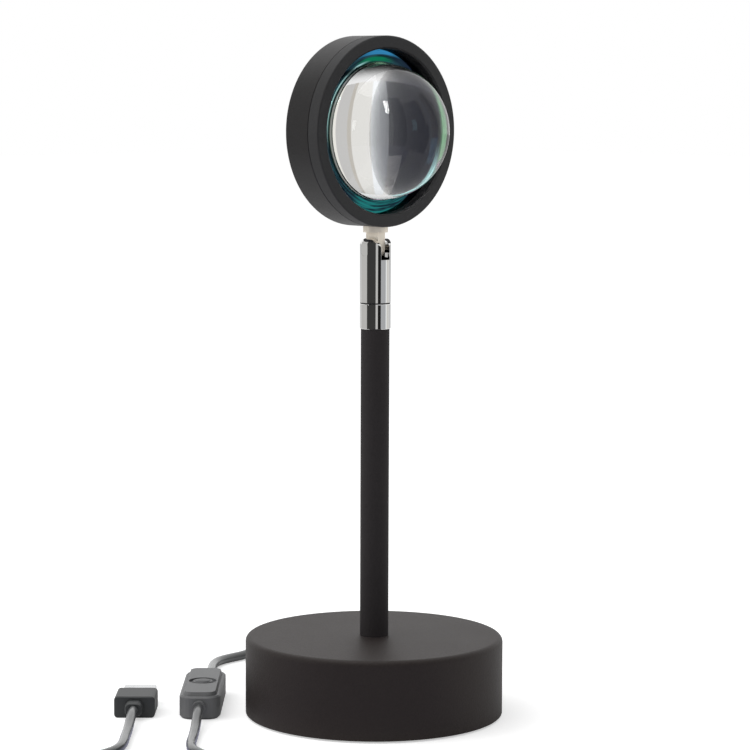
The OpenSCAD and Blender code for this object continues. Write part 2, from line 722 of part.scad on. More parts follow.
module front_ring() color([0.09, 0.09, 0.095]) difference() {
    on_head() rotate_extrude($fn = 160) polygon(concat(
        [[skirt_in_r, seam_h], [head_r - seam_chamfer, seam_h], [head_r, seam_h + seam_chamfer]],
        arc([head_r - head_edge_r, front_h - head_edge_r], head_edge_r, 0, 90),
        [[opening_r + opening_chamfer, front_h], [opening_r, front_h - opening_chamfer],
         [opening_r, lip_h], [skirt_in_r, lip_h]]
    ));
    knuckle_seat();
}

module filter_disc() color([0.35, 0.75, 0.8]) on_head()
    translate([0, 0, ledge_h]) cylinder(r = filter_r, h = filter_t, $fn = 160);

module filter_gasket() color([0.05, 0.05, 0.05]) on_head() difference() {
    translate([0, 0, filter_h]) cylinder(r = filter_r, h = lip_h - filter_h);
    translate([0, 0, filter_h - cut]) cylinder(r = opening_r + slip_fit, h = lip_h - filter_h + 2 * cut);
}

module lens() color([0.85, 0.87, 0.88]) on_head() translate([0, 0, filter_h]) {
    cylinder(r = lens_r + lens_rim_w, h = lens_rim_t);
    translate([0, 0, lens_rim_t]) intersection() {
        sphere(r = lens_r, $fn = 160);
        translate([-lens_d, -lens_d, -0.2]) cube([2 * lens_d, 2 * lens_d, lens_d]);
    }
}

module led_board() color([0.9, 0.9, 0.88]) on_head() difference() {
    translate([0, 0, floor_h]) cylinder(d = board_d, h = board_t);
    for (x = board_screws_x) translate([x, 0, floor_h - cut])
        cylinder(r = board_screw_d / 2 + slip_fit, h = board_t + 2 * cut);
}

module led_chip() color([0.95, 0.8, 0.2]) on_head() {
    translate([-chip_w / 2, -chip_w / 2, board_h]) cube([chip_w, chip_w, chip_t]);
    translate([0, 0, board_h]) cylinder(r = chip_w * 0.36, h = chip_t + 0.5);
}

module board_screws() color([0.75, 0.75, 0.77]) on_head()
    for (x = board_screws_x) translate([x, 0, board_h + board_screw_head_t])
        pan_screw(board_screw_d, board_screw_head_d, board_screw_head_t, board_t + board_screw_l);

module head_lead() color([0.7, 0.1, 0.1])
    tube(head_lead_path, head_lead_d / 2, cord_sides, [1, 0, 0]);

// ---------- Cord ----------

module cord_relief() color([0.13, 0.13, 0.14]) translate([0, 0, exit_z]) rotate([-90, 0, 0])
    rotate_extrude() polygon([
        [0, shell_in_r - 2], [relief_d / 2, shell_in_r - 2], [relief_d / 2, shell_in_r - 0.4],
        [relief_hole_d / 2 - slip_fit, shell_in_r - 0.4], [relief_hole_d / 2 - slip_fit, base_r + 0.05],
        [relief_d / 2, base_r + 0.05], [relief_d / 2, base_r + 1.4],
        [relief_tip_d / 2, base_r + relief_l - 0.6], [relief_tip_d / 2 - 0.4, base_r + relief_l],
        [0, base_r + relief_l]
    ]);

module cord_lead() color([0.16, 0.16, 0.17]) on_surface(0, 0) tube(lead_path, cord_r, cord_sides);

module cord_coil() color([0.16, 0.16, 0.17]) on_surface(0, 0) tube(coil_path, cord_r, coil_sides);

module cord_run() color([0.16, 0.16, 0.17]) on_surface(0, 0) tube(run_path, cord_r, cord_sides);

module cord_tail() color([0.16, 0.16, 0.17]) on_surface(0, 0) tube(tail_path, cord_r, cord_sides);

// ---------- Switch on the cord ----------

module switch_outline(inset = 0)
    polygon(bowed_rect(switch_w - 2 * inset, switch_l - 2 * inset,
                       max(switch_corner_r - inset, 0.5), switch_bow));

module stub(from_z, to_z) intersection() {
    translate([0, 0, stub_z]) rotate([90, 0, 0])
        cylinder(d = stub_d, h = switch_l + 2 * stub_l, center = true);
    difference() {
        translate([-stub_d, -switch_l, from_z]) cube([2 * stub_d, 2 * switch_l, to_z - from_z]);
        translate([-stub_d, switch_wall - switch_l / 2, from_z - cut])
            cube([2 * stub_d, switch_l - 2 * switch_wall, to_z - from_z + 2 * cut]);
    }
}

module switch_lower_shell() color([0.3, 0.3, 0.31]) on_surface(switch_u, switch_v) {
    difference() {
        union() {
            hull() {
                linear_extrude(0.01) switch_outline(foot_chamfer);
                translate([0, 0, foot_chamfer]) linear_extrude(0.01) switch_outline();
            }
            translate([0, 0, foot_chamfer])
                linear_extrude(switch_split - foot_chamfer) switch_outline();
        }
        translate([0, 0, switch_wall]) linear_extrude(switch_split) switch_outline(switch_wall);
    }
    stub(0, switch_split);
    for (v = rib_v) translate([0, v, switch_wall - 0.01])
        linear_extrude(rib_h + 0.01) square(rib_size, center = true);
}

module switch_upper_shell() color([0.36, 0.36, 0.37]) on_surface(switch_u, switch_v) {
    difference() {
        union() {
            translate([0, 0, switch_split])
                linear_extrude(body_h - switch_split - top_chamfer) switch_outline();
            hull() {
                translate([0, 0, body_h - top_chamfer - 0.01]) linear_extrude(0.01) switch_outline();
                translate([0, 0, body_h]) linear_extrude(0.01) switch_outline(top_chamfer);
            }
            hull() {
                translate([0, 0, body_h - 0.1])
                    linear_extrude(0.01) switch_outline(panel_inset - top_chamfer);
                translate([0, 0, switch_h - 0.01]) linear_extrude(0.01) switch_outline(panel_inset);
            }
        }
        translate([0, 0, switch_split - cut])
            linear_extrude(button_ceiling - switch_split + cut) switch_outline(panel_inset + 0.4);
        translate([0, -button_shift, button_ceiling - cut])
            cylinder(r = button_r + button_play, h = switch_h);
        translate([0, -button_shift, switch_h - moat_depth]) cylinder(d = moat_d, h = switch_h);
    }
    stub(switch_split, switch_split + stub_d);
}

module switch_board() color([0.1, 0.35, 0.2]) on_surface(switch_u, switch_v)
    translate([0, 0, board_z]) linear_extrude(switch_board_t)
        polygon(round_rect(switch_w - 5.4, switch_l - 9, 1));

module switch_key() color([0.15, 0.15, 0.15])
    on_surface(switch_u, switch_v) translate([0, -button_shift, 0]) difference() {
        translate([-key_w / 2, -key_w / 2, key_z]) cube([key_w, key_w, key_top - key_z]);
        translate([0, 0, key_z + 0.2]) cylinder(r = plunger_r + 0.2, h = switch_h);
    }

module switch_button() color([0.38, 0.38, 0.39])
    on_surface(switch_u, switch_v) translate([0, -button_shift, 0]) rotate_extrude() polygon(concat(
        [[0, flange_low], [button_flange_r, flange_low],
         [button_flange_r, flange_low + button_flange_t], [button_r, flange_low + button_flange_t],
         [button_r, switch_h - 0.3], [button_r - 0.3, switch_h], [dome_r + 0.1, switch_h - 0.1]],
        [for (a = [0 : 18 : 90])
            [dome_r * cos(a), switch_h + button_lift - dome_h * (1 - sin(a))]]
    ));

module switch_plunger() color([0.85, 0.85, 0.82])
    on_surface(switch_u, switch_v) translate([0, -button_shift, plunger_z])
        cylinder(r = plunger_r, h = flange_low - plunger_z);

// ---------- Plug ----------

// Children drawn with Z along the plug, from the end of its strain relief to its tip
module on_plug() on_surface(plug_u, plug_v) translate([0, 0, plug_z]) rotate([-90, 0, 0]) children();

module slab(w, h, r, from_z, to_z)
    translate([0, 0, from_z]) linear_extrude(to_z - from_z) polygon(round_rect(w, h, r));

module plug_grip() color([0.13, 0.13, 0.14]) on_plug() difference() {
    union() {
        hull() {
            slab(neck_w - 1, neck_h - 1, 1.6, 0, 0.01);
            slab(neck_w, neck_h, 2, neck_l * 0.3, grip_z + 0.5);
        }
        hull() {
            slab(grip_w - 0.8, grip_h - 0.8, 1, grip_z, grip_end);
            slab(grip_w, grip_h, 1.4, grip_z + 0.4, grip_end - 0.4);
        }
    }
    slab(usb_w + 0.1, usb_h + 0.1, 0.5, grip_end - shell_root, grip_end + cut);
}

module plug_shell() color([0.85, 0.86, 0.87]) on_plug() difference() {
    slab(usb_w, usb_h, 0.5, grip_end - shell_root, usb_tip);
    slab(usb_w - 2 * usb_sheet, usb_h - 2 * usb_sheet, 0.3, grip_end - shell_root - cut, usb_tip + cut);
    for (x = window_x)
        translate([x - window_size[0] / 2, -usb_h, usb_tip - window_to_tip - window_size[1]])
            cube([window_size[0], 2 * usb_h, window_size[1]]);
}

module plug_insert() color([0.9, 0.9, 0.9]) on_plug() translate([0, insert_y, 0])
    slab(usb_w - 2 * usb_sheet - 2 * insert_play, insert_t, 0.3,
         grip_end - shell_root + insert_play, usb_tip - 0.5);

// The outer two contacts reach nearer to the tip than the inner two
module plug_contacts() color([0.9, 0.75, 0.35]) on_plug()
    for (x = contact_x)
        translate([x - contact_size[0] / 2, insert_y - insert_t / 2 - contact_size[1], grip_end + 2])
            cube([contact_size[0], contact_size[1], abs(x) > 2 ? usb_l - 3.4 : usb_l - 4.6]);

// ---------- Assembly ----------

base_shell();
base_weight();
base_plate();
base_screws();
foot_pad();
stem_tube();
stem_nipple();
stem_washer();
stem_nut();
stem_lead();
swivel_collar();
swivel_barrel();
swivel_spindle();
spring_washer();
pivot_screw();
knuckle();
rear_shell();
front_ring();
filter_disc();
filter_gasket();
lens();
led_board();
led_chip();
board_screws();
head_lead();
cord_relief();
cord_lead();
cord_coil();
cord_run();
cord_tail();
switch_lower_shell();
switch_upper_shell();
switch_board();
switch_key();
switch_button();
switch_plunger();
plug_grip();
plug_shell();
plug_insert();
plug_contacts();
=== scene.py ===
"""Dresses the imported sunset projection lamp: its finishes, lens, cord, studio and camera.

Lengths are in metres in the row's frame: Z up along the stem, the head looks along -Y.
"""

import logging
import math
import operator
from dataclasses import dataclass
from enum import Enum
from functools import reduce

import bpy
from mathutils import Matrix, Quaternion, Vector


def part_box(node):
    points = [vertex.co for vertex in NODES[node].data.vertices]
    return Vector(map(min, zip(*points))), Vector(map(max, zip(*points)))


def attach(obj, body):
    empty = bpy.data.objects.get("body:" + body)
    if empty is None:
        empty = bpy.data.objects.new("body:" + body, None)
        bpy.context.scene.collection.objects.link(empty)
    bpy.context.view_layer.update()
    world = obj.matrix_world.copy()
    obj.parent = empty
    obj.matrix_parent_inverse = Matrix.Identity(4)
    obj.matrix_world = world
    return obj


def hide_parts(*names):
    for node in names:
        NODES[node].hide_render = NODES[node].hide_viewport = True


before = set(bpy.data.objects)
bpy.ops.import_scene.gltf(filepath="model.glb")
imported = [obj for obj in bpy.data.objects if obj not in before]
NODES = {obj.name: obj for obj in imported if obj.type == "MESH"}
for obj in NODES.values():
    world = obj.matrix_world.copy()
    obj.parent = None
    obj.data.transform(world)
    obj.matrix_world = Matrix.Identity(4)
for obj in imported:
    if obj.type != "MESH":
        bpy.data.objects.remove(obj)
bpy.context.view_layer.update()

LOG = logging.getLogger("lamp")
MM = 0.001
Point = tuple[float, float, float]
Colour = tuple[float, float, float]
Pair = tuple[float, float]
Pairs = tuple[Pair, ...]
Profile = list[Pair]
WHITE = (1.0, 1.0, 1.0)
UP = Vector((0.0, 0.0, 1.0))
RIGHT = Vector((1.0, 0.0, 0.0))
FORWARD = Vector((0.0, -1.0, 0.0))
MERGE = 0.002 * MM
SMOOTH_ANGLE = math.radians(30.0)


# ---------- Shader writing ----------


class Channel:
    """A node's output that takes part in Python arithmetic."""

    def __init__(self, recipe: "Recipe", socket: bpy.types.NodeSocket) -> None:
        """Keeps the recipe and the socket that the value comes from."""
        self.recipe = recipe
        self.socket = socket

    def _math(self, operation: str, first: object, second: object) -> "Channel":
        """Adds one Math node with two channels or numbers."""
        return self.recipe.add("ShaderNodeMath", {"operation": operation}, {0: first, 1: second})

    def __add__(self, other: object) -> "Channel":
        """Sum."""
        return self._math("ADD", self, other)

    def __radd__(self, other: object) -> "Channel":
        """Sum, with a number in front."""
        return self._math("ADD", other, self)

    def __sub__(self, other: object) -> "Channel":
        """Difference."""
        return self._math("SUBTRACT", self, other)

    def __rsub__(self, other: object) -> "Channel":
        """Difference, with a number in front."""
        return self._math("SUBTRACT", other, self)

    def __mul__(self, other: object) -> "Channel":
        """Product."""
        return self._math("MULTIPLY", self, other)

    def __rmul__(self, other: object) -> "Channel":
        """Product, with a number in front."""
        return self._math("MULTIPLY", other, self)

    def __truediv__(self, other: object) -> "Channel":
        """Quotient."""
        return self._math("DIVIDE", self, other)

    def __rtruediv__(self, other: object) -> "Channel":
        """Quotient, with a number in front."""
        return self._math("DIVIDE", other, self)

    def __pow__(self, other: object) -> "Channel":
        """Power."""
        return self._math("POWER", self, other)

    def __rpow__(self, other: object) -> "Channel":
        """Power, with a number in front."""
        return self._math("POWER", other, self)

    def __or__(self, other: object) -> "Channel":
        """The larger of two values."""
        return self._math("MAXIMUM", self, other)

    def __ror__(self, other: object) -> "Channel":
        """The larger, with a number in front."""
        return self._math("MAXIMUM", other, self)

    def step(self, low: float, high: float) -> "Channel":
        """Rises smoothly from 0 at low to 1 at high, or falls where low is the larger."""
        return self.recipe.add(
            "ShaderNodeMapRange", {"interpolation_type": "SMOOTHSTEP"},
            {0: self, 1: low, 2: high, 3: 0.0, 4: 1.0},
        )

    def blend(self, low: object, high: object) -> "Channel":
        """Mixes two colours, with this channel as the share of the second."""
        return self.recipe.add(
            "ShaderNodeMix", {"data_type": "RGBA"}, {0: self, 6: low, 7: high}, output=2
        )


class Recipe:
    """A node tree while it is written."""

    def __init__(self, owner: bpy.types.Material | bpy.types.World) -> None:
        """Starts an empty tree in a material or world."""
        self.owner = owner
        owner.use_nodes = True
        self.tree = owner.node_tree
        self.tree.nodes.clear()

    def add(self, kind: str, settings: dict, inputs: dict, output: int | str = 0) -> Channel:
        """Adds one node.

        Args:
            kind: The node's type.
            settings: Properties of the node, set first.
            inputs: Values or channels by socket number or name.
            output: The socket that the result is read from.

        Returns:
            The node's output as a channel.
        """
        node = self.tree.nodes.new(kind)
        for key, value in settings.items():
            setattr(node, key, value)
        for key, value in inputs.items():
            socket = node.inputs[key]
            if isinstance(value, Channel):
                self.tree.links.new(value.socket, socket)
            elif socket.type == "RGBA":
                socket.default_value = (*value, 1.0)
            else:
                socket.default_value = value
        return Channel(self, node.outputs[output])

    def place(self) -> Channel:
        """The point on the surface, in the row's frame."""
        return self.add("ShaderNodeTexCoord", {}, {}, output="Object")

    def parts(self) -> list[Channel]:
        """X, Y and Z of the point on the surface."""
        split = self.add("ShaderNodeSeparateXYZ", {}, {0: self.place()}).socket.node
        return [Channel(self, socket) for socket in split.outputs]

    def vector(self, x: object, y: object, z: object) -> Channel:
        """A vector from three values."""
        return self.add("ShaderNodeCombineXYZ", {}, {0: x, 1: y, 2: z})

    def stretched(self, scale: Point) -> Channel:
        """The point on the surface, scaled by axis."""
        return self.add("ShaderNodeMapping", {}, {0: self.place(), 3: scale})

    def noise(
        self, scale: float, detail: float = 2.0, rough: float = 0.5, at: Channel | None = None
    ) -> Channel:
        """Noise from 0 to 1, with cells of about 1 / scale."""
        return self.add(
            "ShaderNodeTexNoise", {},
            {"Vector": at or self.place(), "Scale": scale, "Detail": detail, "Roughness": rough},
        )

    def bump(self, height: Channel, depth: float, strength: float = 1.0) -> Channel:
        """A surface normal from a height of 0 to 1 over a depth."""
        return self.add(
            "ShaderNodeBump", {}, {"Height": height, "Distance": depth, "Strength": strength}
        )

    def rays(self, *kinds: str) -> Channel:
        """1 for a ray of one of the kinds that the Light Path node names."""
        node = self.add("ShaderNodeLightPath", {}, {}).socket.node
        found = [Channel(self, node.outputs[f"Is {kind} Ray"]) for kind in kinds]
        return reduce(operator.or_, found)

    def end(self, shader: Channel) -> None:
        """Leads a finished shader to the tree's output."""
        kind = "World" if isinstance(self.owner, bpy.types.World) else "Material"
        out = self.tree.nodes.new(f"ShaderNodeOutput{kind}")
        self.tree.links.new(shader.socket, out.inputs["Surface"])


# ---------- Finishes ----------


@dataclass(frozen=True)
class Coat:
    """Matte powder coat: a fine grain with slightly uneven gloss."""

    name: str
    colour: Colour
    grain: float = 2400.0
    depth: float = 0.00004
    rough: float = 0.5
    gloss: float = 0.35
    tint: Colour = WHITE
    cloud: float = 55.0
    lighter: float = 1.9
    grain_share: float = 0.7
    grain_rough: float = 0.12
    cloud_rough: float = 0.05
    relief: float = 0.8

    def inputs(self, recipe: Recipe) -> dict:
        """The Principled shader's inputs."""
        grain = recipe.noise(self.grain, detail=3.0, rough=0.6)
        cloud = recipe.noise(self.cloud, detail=3.0)
        shade = tuple(c * self.lighter for c in self.colour)
        mix = grain * self.grain_share + cloud * (1.0 - self.grain_share)
        return {
            "Base Color": mix.blend(self.colour, shade),
            "Roughness": self.rough + grain * self.grain_rough + cloud * self.cloud_rough,
            "Specular IOR Level": self.gloss,
            "Specular Tint": self.tint,
            "Normal": recipe.bump(grain, self.depth, self.relief),
        }


@dataclass(frozen=True)
class Metal:
    """A metal with fine marks: plated, machined, cast or polished by its numbers."""

    name: str
    colour: Colour
    rough: float
    marks: Point = (900.0, 900.0, 900.0)
    depth: float = 0.000004
    spread: float = 0.08
    tarnish: float = 0.86
    metallic: float = 1.0
    cloud: float = 120.0
    dull_from: Pair = (0.35, 0.8)
    relief: float = 0.5

    def inputs(self, recipe: Recipe) -> dict:
        """The Principled shader's inputs."""
        marks = recipe.noise(1.0, detail=3.0, rough=0.6, at=recipe.stretched(self.marks))
        cloud = recipe.noise(self.cloud)
        dull = tuple(c * self.tarnish for c in self.colour)
        return {
            "Base Color": cloud.step(*self.dull_from).blend(self.colour, dull),
            "Metallic": self.metallic,
            "Roughness": self.rough + marks * self.spread,
            "Normal": recipe.bump(marks, self.depth, self.relief),
        }


@dataclass(frozen=True)
class Plastic:
    """Moulded plastic or rubber with a fine spark-eroded grain."""

    name: str
    colour: Colour
    rough: float
    grain: float = 2600.0
    depth: float = 0.00001
    coat: float = 0.0
    sheen: float = 0.0
    flow: float = 70.0
    lighter: float = 1.18
    spread: float = 0.1
    coat_rough: float = 0.2
    relief: float = 0.5

    def inputs(self, recipe: Recipe) -> dict:
        """The Principled shader's inputs."""
        grain = recipe.noise(self.grain, detail=3.0, rough=0.55)
        flow = recipe.noise(self.flow)
        light = tuple(min(c * self.lighter, 1.0) for c in self.colour)
        return {
            "Base Color": flow.blend(self.colour, light),
            "Roughness": self.rough + grain * self.spread,
            "Coat Weight": self.coat,
            "Coat Roughness": self.coat_rough,
            "Sheen Weight": self.sheen,
            "Normal": recipe.bump(grain, self.depth, self.relief),
        }


@dataclass(frozen=True)
class Glass:
    """Clear polished glass, with a ground edge beyond a radius from the head's axis."""

    name: str
    centre: Point
    ground_r: float
    ground: Colour = (0.1, 0.11, 0.11)
    ground_rough: float = 0.3
    soft: float = 0.05 * MM
    ior: float = 1.37

    def inputs(self, recipe: Recipe) -> dict:
        """The Principled shader's inputs."""
        x, _, z = recipe.parts()
        across, up = x - self.centre[0], z - self.centre[2]
        radius = (across * across + up * up) ** 0.5
        ground = radius.step(self.ground_r, self.ground_r + self.soft)
        return {
            "Base Color": ground.blend(WHITE, self.ground),
            "Roughness": ground * self.ground_rough,
            "IOR": self.ior,
            "Transmission Weight": 1.0,
        }


@dataclass(frozen=True)
class Spot:
    """A point of the filter: its radius, its direction from the axis, and the painted reflection
    streaks there.
    """

    radius: Channel
    side: Channel
    height: Channel
    streaks: Channel


@dataclass(frozen=True)
class Patch:
    """A patch or line of one colour in the filter's coating, for its painted reflections,
    highlights and shade.

    Each bound is where the patch begins and where it is full. Sides run from -1 at the left to
    1 at the right, and heights from -1 at the bottom to 1 at the top.
    """

    colour: Colour
    radii: Pairs = ()
    sides: Pairs = ()
    heights: Pairs = ()
    streaks: Pairs = ()

    def mask(self, spot: Spot) -> Channel:
        """1 inside the patch, 0 outside."""
        pairs = (
            (spot.radius, self.radii), (spot.side, self.sides),
            (spot.height, self.heights), (spot.streaks, self.streaks),
        )
        masks = [channel.step(*bound) for channel, bounds in pairs for bound in bounds]
        return reduce(operator.mul, masks)


def ring(middle: float, half: float) -> Pairs:
    """The bounds of a ring by its middle radius and half its width."""
    return (middle - half, middle - half / 2), (middle + half, middle + half / 2)


# Where the painted green reflection begins under the lens.
CORE_R = 17.4 * MM


@dataclass(frozen=True)
class CoatingWithPaintedReflections:
    """The filter's coating.

    Under the lens it is dark violet, and green outside a core: a painted reflection, with teal
    and mauve patches in it and a pale cyan painted highlight line at the core's edge. Beyond the
    lens it is dark, with painted teal reflection streaks; painted reflections lay a blue patch
    over a green one at the top and teal at the bottom, the two thin pale lines are painted
    highlights, and the right side is darkened as painted shade.
    """

    name: str
    centre: Point
    lens_r: float = 24.9 * MM
    lens_soft: float = 0.2 * MM
    core_r: float = CORE_R
    core_soft: float = 0.5 * MM
    streak_turn: float = 2.2
    streak_out: float = 1500.0
    mottle: float = 45.0
    violet: tuple[Colour, Colour] = ((0.003, 0.004, 0.018), (0.006, 0.008, 0.028))
    # Painted reflection: the green crescent that a bright light makes in the filter, outside the
    # core.
    green: Colour = (0.2, 0.42, 0.24)
    painted_crescent_patches: tuple[Patch, ...] = (
        # Painted reflection: teal in the lower part of the crescent.
        Patch((0.06, 0.36, 0.34), heights=((-0.25, -0.6),)),
        # Painted reflection: mauve streaks in the lower part of the crescent.
        Patch((0.42, 0.24, 0.36), heights=((-0.15, -0.35),), streaks=((0.45, 0.6),)),
    )
    # Painted highlight: a pale cyan line at the core's edge, in the lower part.
    painted_core_glint: Patch = Patch(
        (0.55, 0.95, 0.95), radii=ring(CORE_R, 0.35 * MM), heights=((-0.1, -0.55),)
    )
    # Beyond the lens: the coating's own dark ground, with painted teal reflection streaks.
    dark: tuple[Colour, Colour] = ((0.006, 0.014, 0.026), (0.025, 0.085, 0.1))
    painted_streak_from: Pair = (0.35, 0.7)
    # Painted light beyond the lens: painted shade, painted reflections and painted highlights.
    painted_edge_light_and_shade: tuple[Patch, ...] = (
        # Painted shade: darker on the right side.
        Patch((0.01, 0.018, 0.04), sides=((0.15, 0.6),)),
        # Painted reflection: a blue patch at the top.
        Patch(
            (0.035, 0.24, 0.47), radii=((27.6 * MM, 28.1 * MM),), heights=((0.86, 0.96),),
            sides=((-0.5, -0.05), (0.42, 0.12)), streaks=((0.25, 0.5),),
        ),
        # Painted reflection: a green ring at the top, under the blue.
        Patch(
            (0.004, 0.18, 0.085), radii=ring(26.2 * MM, 1.1 * MM), heights=((0.86, 0.96),),
            sides=((-0.55, -0.2), (0.3, 0.05)), streaks=((0.2, 0.55),),
        ),
        # Painted reflection: teal at the bottom.
        Patch((0.014, 0.2, 0.19), heights=((-0.84, -0.95),), streaks=((0.38, 0.62),)),
        # Painted highlight: a pale line near the lens's rim, on the left.
        Patch(
            (0.42, 0.72, 0.72), radii=ring(25.8 * MM, 0.4 * MM), heights=((-0.3, 0.2),),
            sides=((-0.15, -0.5),),
        ),
        # Painted highlight: a grey-white line at the upper right.
        Patch(
            (0.22, 0.26, 0.29), radii=ring(29.6 * MM, 0.25 * MM), heights=((0.25, 0.6),),
            sides=((0.2, 0.5),),
        ),
    )

    @staticmethod
    def paint(spot: Spot, ground: object, patches: tuple[Patch, ...]) -> Channel:
        """Lays patches over a ground colour, one after the other."""
        for patch in patches:
            ground = patch.mask(spot).blend(ground, patch.colour)
        return ground

    def spot(self, recipe: Recipe) -> Spot:
        """The point on the filter, seen from its axis."""
        x, _, z = recipe.parts()
        across, up = x - self.centre[0], z - self.centre[2]
        radius = (across * across + up * up) ** 0.5
        side, height = across / radius, up / radius
        # Noise for the painted reflection streaks, round and out from the axis.
        turn = recipe.vector(
            side * self.streak_turn, height * self.streak_turn, radius * self.streak_out
        )
        return Spot(radius, side, height, recipe.noise(1.0, detail=3.0, rough=0.6, at=turn))

    def inputs(self, recipe: Recipe) -> dict:
        """The Principled shader's inputs."""
        spot = self.spot(recipe)
        core = recipe.noise(self.mottle, detail=1.0).blend(*self.violet)
        # Painted reflection: the green crescent with its patches.
        green = self.paint(spot, self.green, self.painted_crescent_patches)
        core = spot.radius.step(self.core_r, self.core_r + self.core_soft).blend(core, green)
        # Painted highlight: the pale cyan line at the core's edge.
        core = self.paint(spot, core, (self.painted_core_glint,))
        # Beyond the lens: painted teal reflection streaks, then painted reflections, highlights
        # and shade.
        edge = spot.streaks.step(*self.painted_streak_from).blend(*self.dark)
        # Painted reflections, highlights and shade beyond the lens.
        edge = self.paint(spot, edge, self.painted_edge_light_and_shade)
        outside = spot.radius.step(self.lens_r, self.lens_r + self.lens_soft)
        return {"Base Color": outside.blend(core, edge), "Metallic": 1.0, "Roughness": 0.0}


class Wardrobe:
    """Writes each finish as a material at its first use."""

    def __init__(self) -> None:
        """Starts with nothing made."""
        self.made: dict[str, bpy.types.Material] = {}

    def get(self, finish: object) -> bpy.types.Material:
        """The material of a finish."""
        if finish.name not in self.made:
            recipe = Recipe(bpy.data.materials.new(finish.name))
            recipe.end(recipe.add("ShaderNodeBsdfPrincipled", {}, finish.inputs(recipe)))
            self.made[finish.name] = recipe.owner
        return self.made[finish.name]


BASE_COAT = Coat(
    "base_coat", (0.0152, 0.0118, 0.011), 1400.0, 0.00014, rough=0.44, gloss=0.29,
    tint=(1.0, 0.93, 0.91),
)
STEM_COAT = Coat(
    "stem_coat", (0.0193, 0.0171, 0.0178), 1500.0, 0.0001, rough=0.5, gloss=0.12
)
HEAD_COAT = Coat("head_coat", (0.0042, 0.0034, 0.004), 1800.0, 0.00009, rough=0.36, gloss=0.46)
RING_COAT = Coat("ring_coat", (0.017, 0.017, 0.018), 1800.0, 0.00009, rough=0.46)
CHROME = Metal(
    "chrome", (0.88, 0.88, 0.875), 0.015, (300.0, 300.0, 2500.0), 0.0000004, 0.03, 0.97
)
NICKEL = Metal(
    "warm_nickel", (0.98, 0.9, 0.78), 0.4, (800.0, 800.0, 2600.0), 0.000002, metallic=0.4
)
BRASS = Metal("turned_brass", (0.78, 0.6, 0.3), 0.22, (600.0, 600.0, 5000.0))
ZINC = Metal("zinc_plate", (0.62, 0.63, 0.66), 0.3, (500.0, 500.0, 500.0), 0.00001)
SHEET = Metal("bottom_sheet", (0.42, 0.42, 0.44), 0.36, (2500.0, 90.0, 2500.0), 0.00001)
CASTING = Metal("rough_casting", (0.2, 0.2, 0.21), 0.6, (500.0, 500.0, 500.0), 0.0002, 0.2)
USB_PLATE = Metal("plug_plate", (0.75, 0.76, 0.77), 0.2, (350.0, 350.0, 350.0), 0.000001)
TIN = Metal("tinned_contacts", (0.42, 0.42, 0.43), 0.3)
# Painted shade: the dark finish of the crimp line stands for the shade in the crimp's groove.
PAINTED_CRIMP_SHADE = Metal("crimp_painted_shade", (0.1, 0.1, 0.105), 0.4)
FOAM = Plastic("foot_foam", (0.016, 0.016, 0.017), 0.85, 1500.0, 0.00015, sheen=0.2)
GASKET = Plastic("black_gasket", (0.012, 0.012, 0.013), 0.7)
CORD_SKIN = Plastic("cord_skin", (0.05, 0.053, 0.055), 0.3, 1500.0, 0.000006, coat=1.0)
SWITCH_SKIN = Plastic("switch_skin", (0.125, 0.127, 0.13), 0.42, 2200.0, 0.00002)
BUTTON_SKIN = Plastic("button_skin", (0.085, 0.087, 0.09), 0.42, 2200.0, 0.00002)
PLUG_SKIN = Plastic("plug_skin", (0.034, 0.037, 0.038), 0.42, 2400.0, 0.00003)
KEY_SKIN = Plastic("key_housing", (0.03, 0.03, 0.03), 0.45)
INSERT_SKIN = Plastic("plug_tongue", (0.03, 0.03, 0.032), 0.4)
WHITE_SKIN = Plastic("white_moulding", (0.8, 0.8, 0.78), 0.4)
RED_SKIN = Plastic("red_insulation", (0.5, 0.03, 0.02), 0.35)
BLACK_SKIN = Plastic("black_insulation", (0.02, 0.02, 0.02), 0.35)
BOARD_SKIN = Plastic("white_board", (0.82, 0.82, 0.8), 0.35)
GREEN_SKIN = Plastic("green_board", (0.02, 0.16, 0.07), 0.3)
PHOSPHOR = Plastic("phosphor", (0.86, 0.66, 0.08), 0.3, coat=0.6)


class Slot(Enum):
    """The names of the record's material slots."""

    LENS = "lens_glass"
    CORD = "cord_jacket"
    RELIEF = "plug_black"
    CHROME = "swivel_chrome"
    WASHER = "gasket_rubber"
    PLUG = "plug_steel"


